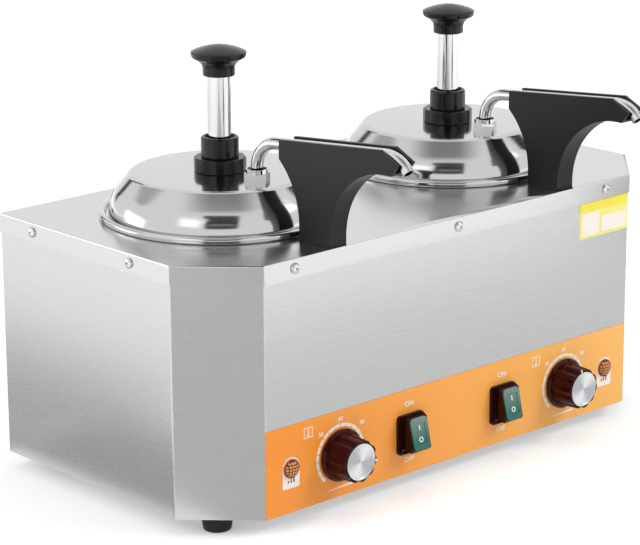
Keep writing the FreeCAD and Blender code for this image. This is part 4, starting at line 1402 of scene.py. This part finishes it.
@dataclass
class Bath:
    """The two water baths with rolled rims, their stands, heaters and pots."""

    body: str = "cabinet"
    wall: float = 1.0
    inner_radius: float = 80.0
    floor_corner: float = 9.0
    bead_inner: float = 84.2
    bead_outer: float = 89.0
    bead_height: float = 5.2
    bead_foot: float = 1.4
    bead_rounding: float = 2.2
    shoulder_rounding: float = 0.8
    pot_radius: float = 67.0
    pot_corner: float = 8.0
    rim_radius: float = 71.0
    rim_height: float = 3.0
    rim_foot: float = 1.0
    rim_rounding: float = 1.4
    lip_rounding: float = 0.8
    facets: int = 192
    pot_facets: int = 160

    def build(self) -> None:
        """Makes the baths and pots, and dresses what lies under them."""
        baths = []
        inner, outer = self.inner_radius, self.inner_radius + self.wall
        for start, end in islands("water_wells"):
            centre = (start + end) / 2
            floor, top = start.z, end.z
            foot = top - self.bead_height
            outline = [
                Corner(0, floor),
                Corner(outer, floor, self.floor_corner),
                Corner(outer, foot),
                Corner(self.bead_outer, foot, self.bead_foot),
                Corner(self.bead_outer, top, self.bead_rounding),
                Corner(self.bead_inner, top, self.bead_rounding),
                Corner(self.bead_inner, foot + self.wall, self.shoulder_rounding),
                Corner(inner, foot + self.wall, self.shoulder_rounding),
                Corner(inner, floor + self.wall, self.floor_corner - self.wall),
                Corner(0, floor + self.wall),
            ]
            bath = turned(outline, closed=False, steps=self.facets)
            baths.append(moved(bath, centre.x, centre.y, 0))
        wells = ["water_wells"]
        finished(joined(baths), "spun_baths", self.body, BATH_STEEL, wells, crease=50)
        dressed(["pot_stands"], BRIGHT_STEEL)
        dressed(["heating_elements"], HEATER_PLATE)
        for side in Side:
            self.pot(side.value)

    def pot(self, name: str) -> None:
        """Makes one lift-out pot with its rolled rim.

        Args:
            name: which station's pot.
        """
        node = f"pot_{name}"
        centre, floor, top = middle(node), low(node).z, high(node).z
        inner, outer = self.pot_radius, self.pot_radius + self.wall
        outline = [
            Corner(0, floor),
            Corner(outer, floor, self.pot_corner),
            Corner(outer, top - self.rim_height),
            Corner(self.rim_radius, top - self.rim_height, self.rim_foot),
            Corner(self.rim_radius, top, self.rim_rounding),
            Corner(inner, top, self.lip_rounding),
            Corner(inner, floor + self.wall, self.pot_corner - self.wall),
            Corner(0, floor + self.wall),
        ]
        # Stainless can, spun and fine polished: soft rings round a half clear mirror.
        steel = SpunSteel(
            f"spun_pot_steel_{name}", "d9d9da", 0.2, centre=(centre.x, centre.y), cloud=0.02,
            cloud_size=50.0, gloss_spread=0.03, depth=0.002,
        )
        bm = moved(turned(outline, closed=False, steps=self.pot_facets), centre.x, centre.y, 0)
        finished(bm, f"spun_pot_{name}", node, steel, [node], crease=50)


@dataclass(frozen=True)
class PumpPart:
    """A fixed part of the pump: its CAD node's and its piece's first words, its look and its edge."""

    node: str
    piece: str
    finish: Finish
    slot: str
    edge: float


PUMP_PARTS = (
    PumpPart("ring_nut", "lock_ring", BLACK_GLOSS, "black_plastic", 0.8),
    PumpPart("pump_collar", "rod_guide", BLACK_GLOSS, "black_plastic", 0.4),
    PumpPart("outlet_nut", "tube_nut", CHROME, "mirror_steel", 0.3),
    PumpPart("spout_tube", "bent_spout", CHROME, "mirror_steel", 0.15),
    PumpPart("riser_tube", "riser", BRIGHT_STEEL, "pump_steel", 0.2),
    PumpPart("pump_cylinder", "barrel", ACETAL, "pump_plastic", 0.3),
    PumpPart("foot_valve", "valve_block", ACETAL, "pump_plastic", 0.4),
)


@dataclass
class LidAndPump:
    """A spun lid with the fixed parts of the pump that it carries."""

    side: Side
    wall: float = 1.0
    foot_radius: float = 82.0
    crease_radius: float = 80.3
    crease_height: float = 14.5
    edge_radius: float = 66.0
    crease_rounding: float = 8.0
    edge_rounding: float = 2.6
    hole_radius: float = 12.1
    facets: int = 256
    arc: int = 8

    def lid(self, name: str, node: str) -> None:
        """The lid: an upright band, a cone and a flat top with a rounded edge.

        Args:
            name: which station's lid.
            node: its CAD node, which is also its body.
        """
        centre, foot, top = middle(node), low(node).z, high(node).z
        crease, half = foot + self.crease_height, self.wall / 2
        outline = [
            Corner(self.foot_radius, foot),
            Corner(self.crease_radius, crease, self.crease_rounding),
            Corner(self.edge_radius, top, self.edge_rounding),
            Corner(self.hole_radius, top),
            Corner(self.hole_radius, top - self.wall),
            Corner(self.edge_radius - half, top - self.wall, self.edge_rounding - half),
            Corner(self.crease_radius - self.wall, crease - half, self.crease_rounding),
            Corner(self.foot_radius - self.wall, foot),
        ]
        bm = moved(turned(outline, True, self.facets, self.arc), centre.x, centre.y, 0)
        # Stainless lid, spun and buffed: nearly a mirror, its reflections a little broken by rings.
        steel = SpunSteel(
            f"mirror_spun_stainless_{name}", "cbcbcd", 0.13, centre=(centre.x, centre.y), ring_width=1.2,
            cloud=0.02, gloss_spread=0.035, depth=0.0025,
        )
        finished(bm, f"spun_lid_{name}", node, steel, [node], crease=50)

    def build(self) -> None:
        """Makes the lid, nuts, collar, tubes and barrel."""
        name = self.side.value
        body = f"lid_{name}"
        self.lid(name, body)
        for part in PUMP_PARTS:
            node, piece = f"{part.node}_{name}", f"{part.piece}_{name}"
            softened(node, piece, body, part.finish, edge=part.edge)


@dataclass
class Plunger:
    """The pushed parts: mushroom knob, chromed rod, piston, seal and spring."""

    side: Side
    neck_radius: float = 11.7
    neck_height: float = 4.8
    neck_rounding: float = 2.4
    flare: float = 0.45
    lip_radius: float = 15.6
    lip_height: float = 2.4
    rim_radius: float = 20.4
    rim_height: float = 3.6
    rim_taper: float = 0.7
    rim_rounding: float = 0.9
    rounding: float = 0.7
    dome_height: float = 5.2
    dome_share: float = 0.98
    bore_radius: float = 8.4
    bore_depth: float = 12.0
    stroke: float = 44.0
    facets: int = 128
    arc: int = 10

    def knob(self, name: str, body: str) -> None:
        """The turned knob with its flare, rim and domed top.

        Args:
            name: which station's knob.
            body: the body that carries it.
        """
        node = f"plunger_knob_{name}"
        centre, foot, top = middle(node), low(node).z, high(node).z
        shoulder = top - self.dome_height
        rim = shoulder - self.rim_height
        lip = rim - self.lip_height
        slope = 2 * math.atan(self.dome_height / self.rim_radius)
        dome = self.rim_radius / math.sin(slope) * math.tan(slope / 2)
        flare = foot + self.neck_height + (lip - foot - self.neck_height) * self.flare
        outline = [
            Corner(0, foot + self.bore_depth),
            Corner(self.bore_radius, foot + self.bore_depth),
            Corner(self.bore_radius, foot),
            Corner(self.neck_radius, foot, self.rounding),
            Corner(self.neck_radius, flare, self.neck_rounding),
            Corner(self.lip_radius, lip, self.rounding),
            Corner(self.rim_radius - self.rim_taper, rim, self.rim_rounding),
            Corner(self.rim_radius, shoulder, self.rounding),
            Corner(dome, top, dome * self.dome_share),
            Corner(0, top),
        ]
        bm = moved(turned(outline, False, self.facets, self.arc), centre.x, centre.y, 0)
        finished(bm, f"mushroom_{name}", body, BLACK_GLOSS, [node], crease=40)

    def spring(self, name: str) -> None:
        """The return spring, which stands on the valve floor, copied from its CAD node with a mesh of its
        own.

        Args:
            name: which station's spring.
        """
        node = f"return_spring_{name}"
        coil = softened(node, f"wound_spring_{name}", f"lid_{name}", BRIGHT_STEEL)
        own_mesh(coil)

    def build(self) -> None:
        """Makes the plunger's shown parts and dresses the ones in the barrel."""
        name = self.side.value
        body = f"plunger_{name}"
        self.knob(name, body)
        softened(f"plunger_rod_{name}", f"polished_rod_{name}", body, CHROME)
        dressed([f"piston_{name}"], ACETAL)
        dressed([f"piston_seal_{name}"], RUBBER)
        self.spring(name)


@dataclass
class Shroud:
    """The black moulded channel that carries a spout."""

    side: Side
    edge: float = 0.5

    def build(self) -> None:
        """Makes the shroud from the CAD solid with softened edges."""
        node = f"spout_shroud_{self.side.value}"
        softened(node, f"moulded_{node}", "cabinet", BLACK_SATIN, edge=self.edge, crease=30)


@dataclass
class Services:
    """What lies behind and inside: switch bodies, thermostats, terminal block and cable gland."""

    body: str = "cabinet"
    frame_edge: float = 0.5
    gland_edge: float = 0.4

    def build(self) -> None:
        """Softens the parts that show and dresses the ones inside."""
        housings, gland = "switch_housings", "cable_gland"
        softened(housings, "switch_frames", self.body, SWITCH_NYLON, edge=self.frame_edge)
        softened(gland, "gland_body", self.body, BLACK_SATIN, edge=self.gland_edge)
        dressed(["gland_nut"], BLACK_SATIN)
        dressed(["thermostats"], PHENOLIC_BODY)
        dressed(["terminal_block"], WHITE_NYLON)


# Studio


@dataclass(frozen=True)
class Card:
    """A card that only reflections see, turned to face the warmer or laid flat just over the floor.

    A flat card has a turn in degrees. A soft one fades into the white surround over that share of
    its half width.
    """

    name: str
    place: tuple[float, float, float]
    size: tuple[float, float]
    level: float
    flat: bool = False
    turn: float = 0.0
    soft: float = 0.0
    cells: int = 24
    aim: tuple[float, float, float] = (0.0, 0.0, 0.15)

    def glow(self, bm: BMesh, surround: float) -> None:
        """Writes how bright each corner of the card's cells looks in a reflection.

        Args:
            bm: the card's grid, one unit wide.
            surround: how bright the white surround is.
        """
        shown = bm.verts.layers.float.new("level")
        for vert in bm.verts:
            share = 1.0
            for away in (abs(vert.co.x), abs(vert.co.y)):
                step = min(1.0, (1 - 2 * away) / self.soft) if self.soft else 1.0
                share *= step * step * (3 - 2 * step)
            vert[shown] = surround + (self.level - surround) * share

    def build(self, surround: float) -> None:
        """Makes the card.

        Args:
            surround: how bright the white surround is.
        """
        bm = bmesh.new()
        bmesh.ops.create_grid(bm, x_segments=self.cells, y_segments=self.cells, size=0.5)
        self.glow(bm, surround)
        bmesh.ops.scale(bm, vec=(*self.size, 1), verts=bm.verts)
        way = (Vector(self.aim) - Vector(self.place)).to_track_quat("Z", "Y").to_matrix()
        bm = moved(rotated(bm, about("Z", self.turn) if self.flat else way), *self.place)
        card = linked(self.name, meshed(bm, self.name))
        paint = bpy.data.materials.new(self.name)
        paint.use_nodes = True
        tree = paint.node_tree
        shade = add_node(tree, "ShaderNodeAttribute", attribute_name="level").outputs["Fac"]
        glow = add_node(tree, "ShaderNodeEmission", {"Color": (1, 1, 1, 1), "Strength": shade})
        feed(tree, tree.nodes["Material Output"], {"Surface": glow.outputs[0]})
        card.data.materials.append(paint)
        card.visible_camera = False
        card.visible_diffuse = False
        card.visible_shadow = False
        card.visible_transmission = False
        card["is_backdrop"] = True


@dataclass(frozen=True)
class Lamp:
    """A soft square light that points at the warmer, and that reflections don't see."""

    name: str
    place: tuple[float, float, float]
    size: float
    power: float
    aim: tuple[float, float, float] = (0.0, 0.0, 0.12)

    def build(self) -> None:
        """Makes the light."""
        data = bpy.data.lights.new(self.name, "AREA")
        data.size = self.size
        data.energy = self.power
        lamp = linked(self.name, data)
        lamp.location = self.place
        lamp.visible_glossy = False
        lamp.rotation_mode = "QUATERNION"
        lamp.rotation_quaternion = (Vector(self.aim) - Vector(self.place)).to_track_quat("-Z", "Y")


CARDS = (
    Card("dark_card_behind_camera", (-1.9, -2.1, 1.75), (1.9, 2.2), 0.07),
    Card("light_bar_behind_camera", (-1.75, -1.93, 1.25), (1.1, 0.12), 0.5),
    Card("grey_card_above", (-0.3, -0.3, 1.7), (2.1, 1.9), 0.3, soft=0.8),
    Card("grey_card_back_left", (-0.9, 1.9, 1.9), (1.5, 1.4), 0.55, soft=0.5),
    Card("dark_card_back", (0.1, 2.3, 0.95), (0.32, 1.5), 0.04),
    Card("bright_card_back_left", (-1.4, 1.5, 0.3), (1.3, 0.7), 3.4, soft=0.6),
    Card("bright_card_left", (-1.9, -0.5, 1.0), (1.1, 1.0), 1.7, soft=0.6),
    Card("bright_card_right", (1.3, -1.4, 1.5), (1.0, 1.0), 2.2, soft=0.6),
    Card("dark_card_right", (2.2, -0.6, 1.0), (0.5, 2.2), 0.03),
    # Flat grey cards by the base: painted floor shade, which the low steel faces see in reflection
    Card("floor_shade_card_by_the_corner", (-0.66, -0.56, 0.002), (0.95, 0.95), 0.66, True),
    Card("floor_shade_card_by_the_side", (-0.32, 0.2, 0.002), (0.12, 0.5), 0.45, True),
    Card("floor_shade_card_by_the_front", (0.27, -0.29, 0.002), (0.8, 0.36), 0.84, True),
    Card("floor_shade_card_by_the_back", (0.05, 0.42, 0.002), (1.0, 0.5), 0.72, True),
    Card("floor_shade_card_by_the_right", (0.52, 0.1, 0.001), (0.5, 0.6), 0.72, True),
    Card("dark_strip_right", (0.78, -0.56, 0.003), (0.4, 0.1), 0.08, True, -36),
    Card("dark_strip_front_left", (-0.79, -0.68, 0.003), (0.34, 0.06), 0.08, True, 46.8),
    Card("dark_strip_front", (-0.58, -0.71, 0.003), (0.34, 0.06), 0.08, True, 46.8),
    Card("dark_strip_back_right", (0.95, 0.38, 0.003), (0.5, 0.3), 0.06, True, 23),
    Card("dark_strip_back", (0.42, 0.98, 0.003), (0.5, 0.3), 0.06, True, 63),
)
LAMPS = (
    Lamp("key_light", (1.3, -1.4, 1.5), 0.9, 22.0),
    Lamp("left_light", (-1.6, 0.2, 1.2), 1.0, 10.0),
    Lamp("top_light", (0.0, 0.2, 1.9), 1.2, 8.0),
)


@dataclass
class Studio:
    """Floor, soft lights, reflected cards, white surround and the camera."""

    floor_size: float = 6.0
    floor_grey: float = 0.86
    floor_roughness: float = 0.7
    floor_specular: float = 0.1
    floor_glow: float = 0.28
    fade_start: float = 1.1
    fade_end: float = 2.4
    camera_place: tuple[float, float, float] = (-1321.0, -1377.9, 687.0)
    camera_yaw: float = 42.64
    camera_pitch: float = 16.1
    camera_roll: float = -0.22
    focal_pixels: float = 2624.0
    sensor: float = 36.0
    reach: float = 50.0
    surround: float = 1.0
    ambient: float = 0.56

    def seen(self, tree: NodeTree, rays: Sequence[str]) -> NodeSocket:
        """Tells whether a ray is of one of these kinds.

        Args:
            tree: the nodes of a material or of the world.
            rays: the kinds, as the light path's outputs name them.

        Returns:
            The socket with one if it is, and nought if it isn't.
        """
        path = add_node(tree, "ShaderNodeLightPath")
        found = path.outputs[rays[0]]
        for ray in rays[1:]:
            inputs = {0: found, 1: path.outputs[ray]}
            found = add_node(tree, "ShaderNodeMath", inputs, operation="MAXIMUM").outputs[0]
        return found

    def world(self) -> None:
        """A white surround for the camera and for reflections, and a softer one for diffuse light."""
        world = bpy.data.worlds.new("studio_surround")
        bpy.context.scene.world = world
        world.use_nodes = True
        tree = world.node_tree
        seen = self.seen(tree, ["Is Camera Ray", "Is Glossy Ray", "Is Transmission Ray"])
        limits = {"Value": seen, "To Min": self.ambient, "To Max": self.surround}
        level = add_node(tree, "ShaderNodeMapRange", limits).outputs["Result"]
        feed(tree, tree.nodes["Background"], {"Color": (1, 1, 1, 1), "Strength": level})

    def floor(self) -> None:
        """A plain pale floor that fades into the surround and keeps the warmer's shadow."""
        bm = bmesh.new()
        bmesh.ops.create_grid(bm, x_segments=1, y_segments=1, size=self.floor_size / 2)
        floor = linked("floor", meshed(bm, "floor"))
        paint = bpy.data.materials.new("pale_floor")
        paint.use_nodes = True
        tree = paint.node_tree
        seen = self.seen(tree, ["Is Camera Ray", "Is Glossy Ray"])
        where = add_node(tree, "ShaderNodeTexCoord").outputs["Object"]
        away = add_node(tree, "ShaderNodeVectorMath", {0: where}, operation="LENGTH").outputs["Value"]
        limits = {"From Min": self.fade_start, "From Max": self.fade_end, "To Min": self.floor_glow}
        fade = add_node(
            tree, "ShaderNodeMapRange", {"Value": away, **limits}, interpolation_type="SMOOTHSTEP"
        )
        lift = add_node(tree, "ShaderNodeMath", {0: seen, 1: fade.outputs["Result"]}, operation="MULTIPLY")
        inputs = {
            "Base Color": (self.floor_grey, self.floor_grey, self.floor_grey, 1),
            "Roughness": self.floor_roughness,
            "Specular IOR Level": self.floor_specular,
            "Emission Color": (1, 1, 1, 1),
            "Emission Strength": lift.outputs[0],
        }
        feed(tree, tree.nodes[SHADER], inputs)
        floor.data.materials.append(paint)
        floor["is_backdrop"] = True

    def camera(self) -> None:
        """The camera at the photograph's place and angle."""
        data = bpy.data.cameras.new("camera")
        data.sensor_width = self.sensor
        data.lens = self.focal_pixels / IMAGE_WIDTH * data.sensor_width
        data.clip_end = self.reach
        camera = linked("camera", data)
        yaw, pitch, roll = (math.radians(a) for a in (self.camera_yaw, self.camera_pitch, self.camera_roll))
        level = Matrix.Rotation(-yaw, 4, "Z") @ Matrix.Rotation(math.pi / 2 - pitch, 4, "X")
        place = Matrix.Translation(Vector(self.camera_place) * MM)
        camera.matrix_world = place @ level @ Matrix.Rotation(roll, 4, "Z")
        bpy.context.scene.camera = camera

    def build(self) -> None:
        """Sets up the whole studio."""
        bpy.context.scene.view_settings.view_transform = "Standard"
        self.world()
        self.floor()
        for card in CARDS:
            card.build(self.surround)
        for lamp in LAMPS:
            lamp.build()
        self.camera()


def corners(box: tuple[Vector, Vector]) -> list[list[float]]:
    """A box as plain lists of numbers."""
    return [[float(v) for v in corner] for corner in box]


def main() -> None:
    """Builds the warmer's pieces in order, then the studio."""
    logging.basicConfig(level=logging.INFO, format="%(message)s")
    cad_box = corners(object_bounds())
    parts: list[Any] = [SheetCabinet(), Fasteners(), Feet(), ControlPanel(), Services(), Bath()]
    parts += [Knob(Side.LEFT, -8.0), Knob(Side.RIGHT, 100.0)]
    for side in Side:
        parts += [RockerSwitch(side), Shroud(side), LidAndPump(side), Plunger(side)]
    for part in parts:
        log.info("building %s", type(part).__name__)
        part.build()
    Studio().build()
    {"cad": cad_box, "visual": corners(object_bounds())}


if __name__ == "__main__":
    main()
